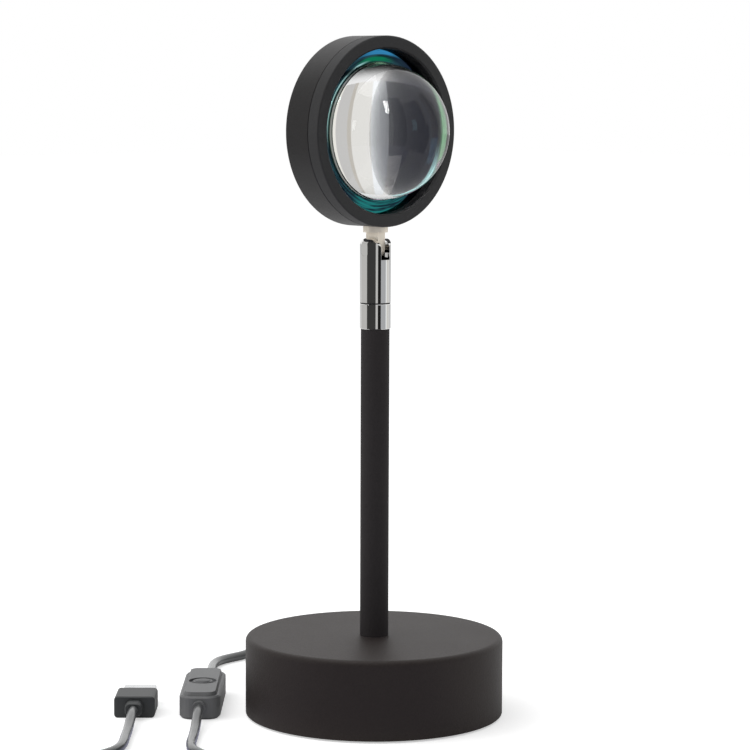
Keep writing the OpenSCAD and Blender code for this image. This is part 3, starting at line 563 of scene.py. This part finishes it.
def finish_nodes(wardrobe: Wardrobe, coating: CoatingWithPaintedReflections) -> None:
    """Gives every CAD piece that stays in view its finish."""
    wear = {
        BASE_COAT: ("base_shell",),
        STEM_COAT: ("stem_tube",),
        HEAD_COAT: ("rear_shell",),
        RING_COAT: ("front_ring",),
        CHROME: ("swivel_collar",),
        NICKEL: ("knuckle",),
        BRASS: ("stem_nipple", "swivel_spindle"),
        ZINC: ("base_screws", "stem_washer", "stem_nut", "spring_washer", "board_screws"),
        SHEET: ("base_plate",),
        CASTING: ("base_weight",),
        FOAM: ("foot_pad",),
        # The filter disc: its coating, with painted reflections, highlights and shade.
        coating: ("filter_disc",),
        GASKET: ("filter_gasket",),
        BOARD_SKIN: ("led_board",),
        PHOSPHOR: ("led_chip",),
        RED_SKIN: ("head_lead",),
        BLACK_SKIN: ("stem_lead",),
        PLUG_SKIN: ("plug_grip",),
        SWITCH_SKIN: ("switch_lower_shell", "switch_upper_shell"),
        BUTTON_SKIN: ("switch_button",),
        GREEN_SKIN: ("switch_board",),
        KEY_SKIN: ("switch_key",),
        WHITE_SKIN: ("switch_plunger",),
        INSERT_SKIN: ("plug_insert",),
        USB_PLATE: ("plug_shell",),
        TIN: ("plug_contacts",),
    }
    for finish, names in wear.items():
        for name in names:
            dress(NODES[name], wardrobe.get(finish))
    LOG.info("finishes: %d on %d nodes", len(wear), sum(map(len, wear.values())))


# ---------- Help for modelling ----------


def take(piece: bpy.types.Object) -> None:
    """Selects one object alone and makes it active."""
    bpy.ops.object.select_all(action="DESELECT")
    piece.select_set(True)
    bpy.context.view_layer.objects.active = piece


def dress(piece: bpy.types.Object, material: bpy.types.Material) -> None:
    """Gives all of an object's slots one material."""
    if not piece.material_slots:
        piece.data.materials.append(material)
    for slot in piece.material_slots:
        slot.material = material


def polyline(name: str, points: list[Vector], closed: bool = False) -> bpy.types.Object:
    """Makes a mesh of edges through some points."""
    curve = bpy.data.curves.new(name, "CURVE")
    curve.dimensions = "3D"
    spline = curve.splines.new("POLY")
    spline.points.add(len(points) - 1)
    spline.use_cyclic_u = closed
    for knot, point in zip(spline.points, points):
        knot.co = (*point, 1.0)
    line = bpy.data.objects.new(name, curve)
    bpy.context.scene.collection.objects.link(line)
    take(line)
    bpy.ops.object.convert(target="MESH")
    return bpy.context.object


def smooth(piece: bpy.types.Object, angle: float = SMOOTH_ANGLE) -> None:
    """Shades a piece smooth, except over edges that are sharper than an angle."""
    take(piece)
    bpy.ops.object.shade_smooth_by_angle(angle=angle)


def lathe(
    name: str, profile: Profile, place: Vector, along: Vector, out: Vector,
    steps: int, sweep: float = 360.0,
) -> bpy.types.Object:
    """Turns a profile about an axis.

    The spin operator turns clockwise about its axis, so it gets a negative angle.

    Args:
        name: The piece's name.
        profile: Radius and height of each point.
        place: Where the axis has height 0.
        along: The axis, of length 1.
        out: The direction that the profile is drawn in, square to the axis.
        steps: Number of steps round.
        sweep: Angle that it is turned through, in degrees.

    Returns:
        The turned surface.
    """
    piece = polyline(name, [place + out * r + along * h for r, h in profile])
    bpy.ops.object.mode_set(mode="EDIT")
    bpy.ops.mesh.select_all(action="SELECT")
    bpy.ops.mesh.spin(
        steps=steps, angle=-math.radians(sweep), center=place, axis=along, use_auto_merge=True
    )
    bpy.ops.mesh.select_all(action="SELECT")
    bpy.ops.mesh.remove_doubles(threshold=MERGE)
    bpy.ops.mesh.normals_make_consistent(inside=False)
    bpy.ops.object.mode_set(mode="OBJECT")
    return piece


def prism(name: str, outline: list[Vector], way: Vector) -> bpy.types.Object:
    """Makes a solid from a flat outline and the way that it is drawn out."""
    piece = polyline(name, outline, closed=True)
    bpy.ops.object.mode_set(mode="EDIT")
    bpy.ops.mesh.select_all(action="SELECT")
    bpy.ops.mesh.edge_face_add()
    bpy.ops.mesh.extrude_region_move(TRANSFORM_OT_translate={"value": way})
    bpy.ops.mesh.select_all(action="SELECT")
    bpy.ops.mesh.normals_make_consistent(inside=False)
    bpy.ops.object.mode_set(mode="OBJECT")
    return piece


def carve(piece: bpy.types.Object, tool: bpy.types.Object, operation: str = "DIFFERENCE") -> None:
    """Cuts a piece with a tool, or keeps what both share, and takes the tool away."""
    take(piece)
    cut = piece.modifiers.new("carve", "BOOLEAN")
    cut.operation, cut.solver, cut.object = operation, "EXACT", tool
    bpy.ops.object.modifier_apply(modifier=cut.name)
    bpy.data.objects.remove(tool)


def arc(centre: Pair, r: float, start: float, end: float, steps: int) -> Profile:
    """Points of an arc in a profile, with angles in degrees."""
    turn = [math.radians(start + (end - start) * i / steps) for i in range(steps + 1)]
    return [(centre[0] + r * math.cos(a), centre[1] + r * math.sin(a)) for a in turn]


# ---------- Cord ----------


@dataclass
class Lead:
    """The lamp's cord: it lies in a coil behind the base, and has a switch before the plug.

    Its routes are in the cord's own plan: right, away and up, in millimetres.
    """

    turn: float = math.radians(-44.0)
    diameter: float = 3.6 * MM
    shell_r: float = 47.5
    relief_l: float = 10.0
    exit_z: float = 8.0
    coil_centre: Pair = (-5.0, 98.0)
    coil_start: float = 270.0
    coil_turns: float = 7.625
    coil_in_r: float = 14.0
    coil_pitch: float = 4.05
    coil_layer: float = 4.05
    coil_step: float = 0.5
    coil_points: int = 24
    nudge: float = 0.001
    straight: float = 2.0
    bevel_rings: int = 5
    knot_steps: int = 3
    rest_z: float = 1.85
    switch_at: Pair = (-64.0, 10.0)
    switch_half: float = 24.5
    switch_z: float = 4.8
    plug_at: Pair = (-88.0, -14.5)
    plug_z: float = 4.0
    lead_route: tuple[Point, ...] = (
        (-43, 44, 7.9), (-46, 49, 7), (-47, 54.5, 5.6), (-46, 60, 4.1), (-43, 65, 2.9),
        (-38, 68.3, 2.2), (-32, 69.5, 1.9), (-24, 69.2, 1.85), (-16, 68.7, 1.85),
    )
    run_route: tuple[Point, ...] = (
        (-32, 112.6, 5.7), (-37, 107.6, 5.1), (-42.5, 102.1, 4), (-48, 96.6, 2.8),
        (-53, 91.6, 2), (-57.8, 86.8, 1.85), (-61.2, 82.4, 1.85), (-63.3, 77.3, 1.85),
        (-64, 72, 1.85), (-64, 65, 1.85), (-64, 58, 1.9), (-64, 51, 2.6), (-64, 45, 3.8),
        (-64, 41, 4.6),
    )
    tail_route: tuple[Point, ...] = (
        (-64, -21, 4.6), (-64, -25, 3.8), (-64, -31, 2.6), (-64, -38, 1.9), (-64, -47, 1.85),
        (-64, -56, 1.85), (-62.4, -65, 1.85), (-57, -73.8, 1.85), (-51.6, -82.6, 1.85),
        (-50, -91.5, 1.85), (-51.6, -100.4, 1.85), (-56.1, -108.2, 1.85), (-63, -114, 1.85),
        (-71.5, -117.1, 1.85), (-80.5, -117.1, 1.85), (-89, -114, 1.85), (-95.9, -108.2, 1.85),
        (-100.4, -100.4, 1.85), (-102, -91.5, 1.85), (-100.4, -82.6, 1.85), (-95, -73.8, 1.85),
        (-89.6, -65, 1.85), (-88, -56, 1.85), (-88, -47, 1.85), (-88, -38, 1.9),
        (-88, -31, 2.5), (-88, -25, 3.4), (-88, -21, 3.9),
    )

    def row(self, point: Vector) -> Vector:
        """Turns a point of the plan into the row's frame."""
        u, v, z = point
        c, s = math.cos(self.turn), math.sin(self.turn)
        return Vector((u * c - v * s, u * s + v * c, z)) * MM

    def way_out(self) -> Vector:
        """The direction in the plan in which the cord leaves the base."""
        return Vector((math.sin(self.turn), math.cos(self.turn), 0.0))

    def coil_point(self, turns: float) -> Vector:
        """The coil's centreline after a number of turns."""
        a = math.radians(self.coil_start + 360.0 * turns)
        off = turns - self.coil_turns / 2.0
        r = self.coil_in_r + self.coil_pitch * abs(off)
        t = min(max(off / self.coil_step + 0.5, 0.0), 1.0)
        z = self.rest_z + self.coil_layer * t * t * (3.0 - 2.0 * t)
        cu, cv = self.coil_centre
        return Vector((cu + r * math.cos(a), cv + r * math.sin(a), z))

    def lead_points(self) -> list[Vector]:
        """The route from the strain relief through the coil to the switch."""
        d = self.diameter / MM
        out = self.way_out()
        tip = out * (self.shell_r + self.relief_l) + UP * self.exit_z
        steps = round(self.coil_turns * self.coil_points)
        coil = [self.coil_point(self.coil_turns * i / steps) for i in range(steps + 1)]
        back = (coil[0] - self.coil_point(self.nudge)).normalized() * d
        on = (coil[-1] - self.coil_point(self.coil_turns - self.nudge)).normalized() * d
        coil = [coil[0] + 2 * back, coil[0] + back, *coil, coil[-1] + on, coil[-1] + 2 * on]
        u, v = self.switch_at
        far = v + self.switch_half
        stub = [Vector((u, far + d, self.switch_z)), Vector((u, far, self.switch_z))]
        lead, run = map(Vector, self.lead_route), map(Vector, self.run_route)
        return [tip, tip + self.straight * out, *lead, *coil, *run, *stub]

    def tail_points(self) -> list[Vector]:
        """The route from the switch to the plug."""
        d = self.diameter / MM
        u, v = self.switch_at
        near = v - self.switch_half
        stub = [Vector((u, near, self.switch_z)), Vector((u, near - d, self.switch_z))]
        u, v = self.plug_at
        plug = [Vector((u, v - d, self.plug_z)), Vector((u, v, self.plug_z))]
        return [*stub, *map(Vector, self.tail_route), *plug]

    def strand(self, name: str, plan: list[Vector], skin: bpy.types.Material) -> bpy.types.Object:
        """Draws one stretch of cord as a round curve.

        Args:
            name: The piece's name.
            plan: Its points.
            skin: Its material.

        Returns:
            The curve, riding on the base.
        """
        curve = bpy.data.curves.new(name, "CURVE")
        curve.dimensions = "3D"
        curve.bevel_depth = self.diameter / 2.0
        curve.bevel_resolution = self.bevel_rings
        curve.resolution_u = self.knot_steps
        curve.use_fill_caps = True
        spline = curve.splines.new("BEZIER")
        spline.bezier_points.add(len(plan) - 1)
        for knot, point in zip(spline.bezier_points, plan):
            knot.co = self.row(point)
            knot.handle_left_type = knot.handle_right_type = "AUTO"
        piece = bpy.data.objects.new(name, curve)
        bpy.context.scene.collection.objects.link(piece)
        curve.materials.append(skin)
        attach(piece, "base")
        return piece

    @staticmethod
    def length(plan: list[Vector]) -> float:
        """The length of a route, in metres."""
        return sum((b - a).length for a, b in zip(plan, plan[1:])) * MM

    def build(self, wardrobe: Wardrobe) -> None:
        skin = wardrobe.get(CORD_SKIN)
        lead_plan, tail_plan = self.lead_points(), self.tail_points()
        lead = self.strand("lead_cord", lead_plan, skin)
        tail = self.strand("tail_cord", tail_plan, skin)
        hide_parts("cord_lead", "cord_coil", "cord_run")
        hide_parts("cord_tail")
        tuple(self.row(lead_plan[0]))
        self.length(lead_plan)
        tuple(self.row(tail_plan[0]))
        self.length(tail_plan)
        LOG.info("cord: %.3f m to the switch, %.3f m to the plug",
                 self.length(lead_plan), self.length(tail_plan))


# ---------- Plug and strain relief ----------


@dataclass
class Plug:
    """What the plug's shell and the cord's exit have besides their CAD pieces.

    Sizes are in millimetres. The crimp is an open box of thin lines on the shell's upper side,
    whose dark finish is painted shade of the crimp's groove.
    Each rib of the relief is a share of its pitch by a share of the groove's depth.
    """

    lead: Lead
    tip: float = 32.3
    shell_top: float = 6.25
    crimp_to_tip: float = 10.1
    crimp: Pair = (3.3, 1.6)
    line: float = 0.3
    sink: float = 0.05
    raised: float = 0.08
    relief_r: Pair = (4.2, 2.6)
    rib_ends: Pair = (2.0, 9.2)
    ribs: int = 5
    rib: Pairs = ((0.0, 0.0), (0.35, 0.0), (0.42, 1.0), (0.8, 1.0), (0.87, 0.0))
    groove: float = 0.5
    collar_gap: float = 0.6
    nose: float = 0.4
    inside: float = 2.0
    hole_r: float = 2.9
    steps: int = 64

    def crimp_mark(self) -> bpy.types.Object:
        """Draws the crimp as a thin raised line, open at its right end; its dark finish is
        painted shade of the groove.
        """
        u, v = self.lead.plug_at
        v += self.tip - self.crimp_to_tip
        x, y = (size / 2 for size in self.crimp)
        e = self.line
        outer = [(x, y), (y / 2 - x, y), (-x, y / 2), (-x, -y / 2), (y / 2 - x, -y), (x / 2, -y)]
        inner = [
            (x / 2, e - y), ((y + e) / 2 - x, e - y), (e - x, (e - y) / 2),
            (e - x, (y - e) / 2), ((y + e) / 2 - x, y - e), (x, y - e),
        ]
        low = self.shell_top - self.sink
        outline = [self.lead.row(Vector((u + a, v + b, low))) for a, b in outer + inner]
        return prism("plug_crimp", outline, UP * self.raised * MM)

    def relief(self) -> bpy.types.Object:
        """Turns the strain relief with its flexing grooves."""
        wide, slim = self.relief_r
        start, end = self.rib_ends
        length = self.lead.relief_l
        profile = [
            (0.0, -self.inside), (self.hole_r, -self.inside), (self.hole_r, self.sink),
            (wide, self.sink), (wide, start - self.collar_gap),
        ]
        pitch = (end - start) / self.ribs
        for i in range(self.ribs):
            for share, depth in self.rib:
                h = start + pitch * (i + share)
                r = wide + (slim - wide) * (h - start) / (length - start)
                profile.append((r - depth * self.groove, h))
        profile += [(slim, length - self.nose), (slim - self.nose, length), (0.0, length)]
        out = self.lead.row(self.lead.way_out()).normalized()
        place = (out * self.lead.shell_r + UP * self.lead.exit_z) * MM
        profile = [(r * MM, h * MM) for r, h in profile]
        return lathe("cord_boot", profile, place, out, out.cross(UP), self.steps)

    def build(self, wardrobe: Wardrobe) -> None:
        """Makes both pieces and puts them on the base."""
        mark, boot = self.crimp_mark(), self.relief()
        # The crimp's dark finish is painted shade of its groove.
        dress(mark, wardrobe.get(PAINTED_CRIMP_SHADE))
        smooth(boot)
        dress(boot, wardrobe.get(PLUG_SKIN))
        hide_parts("cord_relief")
        for piece in (mark, boot):
            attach(piece, "base")
            LOG.info("%s: %d faces", piece.name, len(piece.data.polygons))


# ---------- Lens ----------


@dataclass
class HalfBall:
    """The half-ball lens, a hair off the filter."""

    gap: float = 0.06 * MM
    rim_t: float = 1.2 * MM
    rim_w: float = 0.4 * MM
    bevel: float = 0.12 * MM
    bows: int = 72
    steps: int = 192
    sharp: float = math.radians(25.0)

    def __post_init__(self) -> None:
        """Reads the lens's place and radius from the frame."""
        low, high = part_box("lens")
        self.centre = Vector(((low[0] + high[0]) / 2, high[1], (low[2] + high[2]) / 2))
        self.rim_r = (high[0] - low[0]) / 2
        self.ball_r = self.rim_r - self.rim_w

    def build(self, wardrobe: Wardrobe) -> None:
        """Makes the lens and puts it on the head."""
        b = self.bevel
        profile = [
            (0.0, self.gap), (self.rim_r - b, self.gap), (self.rim_r, self.gap + b),
            (self.rim_r, self.rim_t - b), (self.rim_r - b, self.rim_t),
            *arc((0.0, self.rim_t), self.ball_r, 0.0, 90.0, self.bows),
        ]
        lens = lathe("half_ball_lens", profile, self.centre, FORWARD, RIGHT, self.steps)
        smooth(lens, self.sharp)
        ground_r = self.ball_r + self.rim_w / 2
        dress(lens, wardrobe.get(Glass("clear_glass", tuple(self.centre), ground_r)))
        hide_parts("lens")
        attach(lens, "head")
        LOG.info("lens: %d faces", len(lens.data.polygons))


# ---------- Swivel ----------


@dataclass
class Swivel:
    """The chrome barrel with its two round ears, its pivot pin, and the washer under it.

    Pairs are radius and length for the thread, and shank and head for the pin and its play.
    """

    shoulder: float = 2.3 * MM
    edge: float = 0.2 * MM
    ear_round: float = 5.9 * MM
    slot_w: float = 4.2 * MM
    slot_drop: float = 3.7 * MM
    thread: Pair = (2.5 * MM, 7.0 * MM)
    wire_bore: float = 1.4 * MM
    pin: Pair = (1.5 * MM, 2.3 * MM)
    pin_play: Pair = (0.05 * MM, 0.02 * MM)
    pin_sink: float = 0.02 * MM
    pin_head: float = 1.2 * MM
    washer_in: float = 3.4 * MM
    washer_gap: float = 0.01 * MM
    step_in: float = 0.12 * MM
    shoulder_steps: int = 14
    ear_steps: int = 48
    barrel_steps: int = 256
    bar_steps: int = 96

    def __post_init__(self) -> None:
        """Reads the barrel's and the pin's places from the frame."""
        low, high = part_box("swivel_barrel")
        self.r, self.low, self.top = (high[0] - low[0]) / 2, low[2], high[2]
        low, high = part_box("pivot_screw")
        self.pin_z = (low[2] + high[2]) / 2
        self.pin_end = high[0]
        self.collar_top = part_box("swivel_collar")[1][2]

    def bar(self, r: float, start: Vector, way: Vector) -> bpy.types.Object:
        """A round bar to carve with, from its start and the way to its end."""
        length, along = way.length, way.normalized()
        profile = [(0.0, 0.0), (r, 0.0), (r, length), (0.0, length)]
        out = along.orthogonal().normalized()
        return lathe("bar", profile, start, along, out, self.bar_steps)

    def slot(self) -> bpy.types.Object:
        """The square block that the slot is carved with."""
        half, reach, floor = self.slot_w / 2, 2 * self.r, self.pin_z - self.slot_drop
        corners = [(-half, -reach), (half, -reach), (half, reach), (-half, reach)]
        outline = [Vector((x, y, floor)) for x, y in corners]
        return prism("block", outline, UP * 2 * (self.top - floor))

    def ear_side(self) -> bpy.types.Object:
        """The round-topped block that the barrel shares its ears' outline with."""
        wide, under = self.ear_round, self.low - self.shoulder
        bow = arc((0.0, self.top - wide), wide, 0.0, 180.0, self.ear_steps)
        side = [(wide, under), *bow, (-wide, under)]
        reach = self.r + self.edge
        return prism("ear_side", [Vector((-reach, y, z)) for y, z in side], RIGHT * 2 * reach)

    def barrel(self) -> bpy.types.Object:
        """Turns the barrel, rounds its ears, and cuts the slot and the bores."""
        f, r, top, reach = self.shoulder, self.r, self.top, 2 * self.r
        profile = [
            (0.0, self.low), (r - self.edge, self.low), (r, self.low + self.edge),
            *arc((r - f, top - f), f, 0.0, 90.0, self.shoulder_steps), (0.0, top),
        ]
        piece = lathe("ear_barrel", profile, Vector(), UP, RIGHT, self.barrel_steps)
        carve(piece, self.ear_side(), "INTERSECT")
        carve(piece, self.slot())
        under = UP * (self.low - f)
        carve(piece, self.bar(self.wire_bore, under, UP * reach * 2))
        carve(piece, self.bar(self.thread[0], under, UP * (self.thread[1] + f)))
        left = Vector((-reach, 0.0, self.pin_z))
        carve(piece, self.bar(self.pin[0] + self.pin_play[0], left, RIGHT * 2 * reach))
        seat = Vector((-r + self.pin_head, 0.0, self.pin_z))
        carve(piece, self.bar(self.pin[1] + self.pin_play[1], seat, -RIGHT * reach))
        return piece

    def pivot_pin(self) -> bpy.types.Object:
        """Turns the pin and rounds its head to the barrel."""
        shank, head = self.pin
        start = Vector((self.pin_end, 0.0, self.pin_z))
        neck = self.pin_end + self.r - self.pin_head
        end = neck + 2 * self.pin_head
        profile = [
            (0.0, 0.0), (shank - self.edge, 0.0), (shank, self.edge), (shank, neck),
            (head, neck), (head, end), (0.0, end),
        ]
        piece = lathe("pivot_pin", profile, start, -RIGHT, UP, self.bar_steps)
        low = UP * (self.pin_z - 2 * head)
        carve(piece, self.bar(self.r - self.pin_sink, low, UP * 4 * head), "INTERSECT")
        return piece

    def washer(self) -> bpy.types.Object:
        """Turns the friction washer between the collar and the barrel."""
        near, out = self.washer_in, self.r - self.step_in
        low, high = self.collar_top + self.washer_gap, self.low - self.washer_gap
        profile = [(near, low), (out, low), (out, high), (near, high), (near, low)]
        return lathe("swivel_washer", profile, Vector(), UP, RIGHT, self.bar_steps)

    def build(self, wardrobe: Wardrobe) -> None:
        """Makes the three pieces and puts them on the swivel."""
        for piece, finish, slot, node in (
            (self.barrel(), CHROME, Slot.CHROME, "swivel_barrel"),
            (self.pivot_pin(), CHROME, Slot.CHROME, "pivot_screw"),
            (self.washer(), GASKET, Slot.WASHER, None),
        ):
            smooth(piece)
            dress(piece, wardrobe.get(finish))
            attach(piece, "swivel")
            if node:
                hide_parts(node)
            LOG.info("%s: %d faces", piece.name, len(piece.data.polygons))


# ---------- Studio ----------


def shade_card(card: bpy.types.Object, glow: float, tint: Colour, sharp: bool = False) -> None:
    """Makes a card glow and hides it from all but reflections.

    Args:
        card: The card.
        glow: How bright it looks.
        tint: Its colour.
        sharp: Whether only sharp reflections show it.
    """
    recipe = Recipe(bpy.data.materials.new(card.name))
    shine = recipe.add("ShaderNodeEmission", {}, {"Color": tint, "Strength": glow})
    if sharp:
        clear = recipe.add("ShaderNodeBsdfTransparent", {}, {})
        seen = recipe.rays("Singular")
        shine = recipe.add("ShaderNodeMixShader", {}, {0: seen, 1: clear, 2: shine})
    recipe.end(shine)
    dress(card, recipe.owner)
    card.visible_camera = card.visible_diffuse = card.visible_shadow = False


@dataclass(frozen=True)
class Card:
    """A curved card round the lamp that only reflections show.

    Bearings are in degrees from +X. The profile is the card's radius and height at both edges.
    """

    name: str
    start: float
    end: float
    glow: float
    profile: Pairs = ((0.55, 0.0), (0.55, 1.1))
    through_glass: bool = True
    tint: Colour = (1.0, 0.99, 0.97)
    facet: float = 4.0
    least_facets: int = 2

    def build(self) -> None:
        """Makes the card."""
        a, sweep = math.radians(self.start), self.end - self.start
        steps = max(self.least_facets, round(sweep / self.facet))
        out = Vector((math.cos(a), math.sin(a), 0.0))
        card = lathe(self.name, list(self.profile), Vector(), UP, out, steps, sweep)
        shade_card(card, self.glow, self.tint)
        card.visible_transmission = self.through_glass


@dataclass(frozen=True)
class Window:
    """A bright flat card, seen as a small highlight in polished surfaces alone.

    Its bearing from +X, its lift and its lean are in degrees.
    """

    name: str
    bearing: float
    lift: float
    size: Pair
    glow: float
    tint: Colour = WHITE
    lean: float = 0.0
    through_glass: bool = False
    distance: float = 0.38

    def build(self, centre: Vector) -> None:
        """Makes the card, facing a centre."""
        a, e = math.radians(self.bearing), math.radians(self.lift)
        way = Vector((math.cos(a) * math.cos(e), math.sin(a) * math.cos(e), math.sin(e)))
        turn = (-way).to_track_quat("Z", "Y") @ Quaternion(UP, math.radians(self.lean))
        bpy.ops.object.select_all(action="DESELECT")
        bpy.ops.mesh.primitive_plane_add(
            size=1.0, location=centre + way * self.distance, rotation=turn.to_euler()
        )
        card = bpy.context.object
        card.name = self.name
        card.scale = (*self.size, 1.0)
        bpy.ops.object.transform_apply(location=True, rotation=True, scale=True)
        shade_card(card, self.glow, self.tint, sharp=True)
        card.visible_transmission = self.through_glass


@dataclass(frozen=True)
class SoftLight:
    """A rectangular light that looks at the middle of the lamp. Its power is in watts."""

    name: str
    at: Point
    size: Pair
    power: float
    aim: Point = (0.0, 0.0, 0.13)

    def build(self) -> None:
        """Makes the light."""
        data = bpy.data.lights.new(self.name, "AREA")
        data.shape = "RECTANGLE"
        data.size, data.size_y = self.size
        data.energy = self.power
        light = bpy.data.objects.new(self.name, data)
        light.location = self.at
        look = Vector(self.aim) - Vector(self.at)
        light.rotation_euler = look.to_track_quat("-Z", "Y").to_euler()
        bpy.context.scene.collection.objects.link(light)


NEAR_WALL = ((0.42, 0.0), (0.42, 0.62))
LOW_WALL = ((0.42, 0.0), (0.42, 0.28))
HIGH_WALL = ((0.42, 0.28), (0.42, 0.62))
MAT = ((0.055, 0.0008), (0.55, 0.0008))
COOL = (0.95, 0.97, 1.0)


@dataclass
class Studio:
    """The camera, a pale floor, soft light, and the cards that polished pieces reflect.

    The floor is darker near the lamp for light that comes through the lens alone: painted shade
    that the lens shows as a dark gradient. Its radii are where that begins and ends, and its glow
    is the least and what it gains.
    """

    eye: Point = (-0.6866, -0.7113, 0.2335)
    aim: Point = (0.0, 0.0, 0.12607)
    roll: float = math.radians(0.2)
    focal: float = 130.4
    sensor: float = 36.0
    clip_start: float = 0.01
    room: float = 0.62
    floor_size: float = 12.0
    floor_tone: float = 0.86
    floor_white: float = 1.02
    # Painted shade on the floor, seen through the lens alone: where it begins and ends, and its
    # glow.
    painted_shade_r: Pair = (0.18, 0.4)
    painted_shade_glow: Pair = (0.02, 0.84)
    cards: tuple[Card, ...] = (
        Card("left_wall", 100.0, 162.0, 0.52),
        Card("front_flag", 162.0, 229.0, 0.044, through_glass=False),
        Card("front_strip", 229.0, 245.0, 0.54, through_glass=False),
        Card("side_flag", 245.0, 268.0, 0.012, through_glass=False),
        Card("dim_wall", 268.0, 304.0, 0.44, NEAR_WALL, tint=COOL),
        Card("half_wall", 304.0, 310.0, 0.44, LOW_WALL, tint=COOL),
        Card("high_wall", 304.0, 310.0, 0.86, HIGH_WALL),
        Card("right_wall", 310.0, 317.0, 0.94, NEAR_WALL, tint=(0.95, 0.98, 1.0)),
        Card("cream_wall", 317.0, 325.5, 0.78, NEAR_WALL, tint=(1.0, 0.99, 0.95)),
        Card("right_seam", 325.5, 327.5, 0.54, NEAR_WALL, tint=(1.0, 0.95, 0.86)),
        Card("grey_wall", 327.5, 334.5, 0.58, NEAR_WALL),
        Card("end_wall", 334.5, 341.0, 0.85, NEAR_WALL, tint=(1.0, 0.98, 0.92)),
        Card("dark_mat", 150.0, 275.0, 0.42, MAT, through_glass=False, tint=(0.9, 0.9, 1.15)),
    )
    windows: tuple[Window, ...] = (
        Window("soft_window", -125.0, 41.0, (0.045, 0.15), 26.0, lean=-8.0),
        Window("slim_window", 178.5, 10.5, (0.04, 0.09), 4.0),
        Window("dim_window", -78.0, 10.0, (0.055, 0.1), 1.3, (0.6, 0.9, 1.0), through_glass=True),
    )
    lights: tuple[SoftLight, ...] = (
        SoftLight("top_light", (-0.6, 0.5, 1.6), (1.4, 1.4), 10.0),
        SoftLight("side_light", (-1.3, 1.0, 0.9), (1.0, 1.0), 8.0),
    )

    def camera(self) -> None:
        """Sets the camera at the photograph's viewpoint."""
        data = bpy.data.cameras.new("camera")
        data.sensor_width = self.sensor
        data.lens = self.focal
        data.clip_start = self.clip_start
        camera = bpy.data.objects.new("camera", data)
        camera.location = self.eye
        look = (Vector(self.aim) - Vector(self.eye)).to_track_quat("-Z", "Y")
        camera.rotation_euler = (look @ Quaternion(UP, self.roll)).to_euler()
        bpy.context.scene.collection.objects.link(camera)
        bpy.context.scene.camera = camera

    def world(self) -> None:
        """A white room that lights softly and looks plain white."""
        world = bpy.data.worlds.new("room")
        bpy.context.scene.world = world
        recipe = Recipe(world)
        white = {"Color": WHITE}
        light = recipe.add("ShaderNodeBackground", {}, white | {"Strength": self.room})
        seen = recipe.add("ShaderNodeBackground", {}, white | {"Strength": 1.0})
        share = recipe.rays("Camera", "Glossy", "Transmission")
        recipe.end(recipe.add("ShaderNodeMixShader", {}, {0: share, 1: light, 2: seen}))

    def floor(self) -> None:
        """A pale floor that looks white and keeps the lamp's shadow."""
        bpy.ops.object.select_all(action="DESELECT")
        bpy.ops.mesh.primitive_plane_add(size=self.floor_size)
        floor = bpy.context.object
        floor.name = "floor"
        recipe = Recipe(bpy.data.materials.new("pale_floor"))
        plain = recipe.add("ShaderNodeBsdfDiffuse", {}, {"Color": (self.floor_tone,) * 3})
        lift = recipe.rays("Camera") * (self.floor_white - self.floor_tone * self.room)
        glow = recipe.add("ShaderNodeEmission", {}, {"Strength": lift})
        seen = recipe.add("ShaderNodeAddShader", {}, {0: plain, 1: glow})
        x, y, _ = recipe.parts()
        # Painted shade: for rays through the lens, the floor glows less near the lamp.
        far = ((x * x + y * y) ** 0.5).step(*self.painted_shade_r)
        least, more = self.painted_shade_glow
        painted_shade = recipe.add("ShaderNodeEmission", {}, {"Strength": far * more + least})
        share = recipe.rays("Transmission")
        recipe.end(recipe.add("ShaderNodeMixShader", {}, {0: share, 1: seen, 2: painted_shade}))
        dress(floor, recipe.owner)

    def build(self, lens_centre: Vector) -> None:
        """Sets the whole studio."""
        self.world()
        self.floor()
        for card in self.cards:
            card.build()
        for window in self.windows:
            window.build(lens_centre)
        for light in self.lights:
            light.build()
        bpy.context.scene.view_settings.view_transform = "Standard"


def main() -> None:
    """Sets the camera, builds the lamp's pieces and lights them."""
    logging.basicConfig(level=logging.INFO, format="%(name)s %(message)s")
    studio = Studio()
    studio.camera()
    wardrobe = Wardrobe()
    lead = Lead()
    lead.build(wardrobe)
    Plug(lead).build(wardrobe)
    lens = HalfBall()
    lens.build(wardrobe)
    Swivel().build(wardrobe)
    finish_nodes(wardrobe, CoatingWithPaintedReflections("coating_with_painted_reflections", tuple(lens.centre)))
    studio.build(lens.centre)


if __name__ == "__main__":
    main()
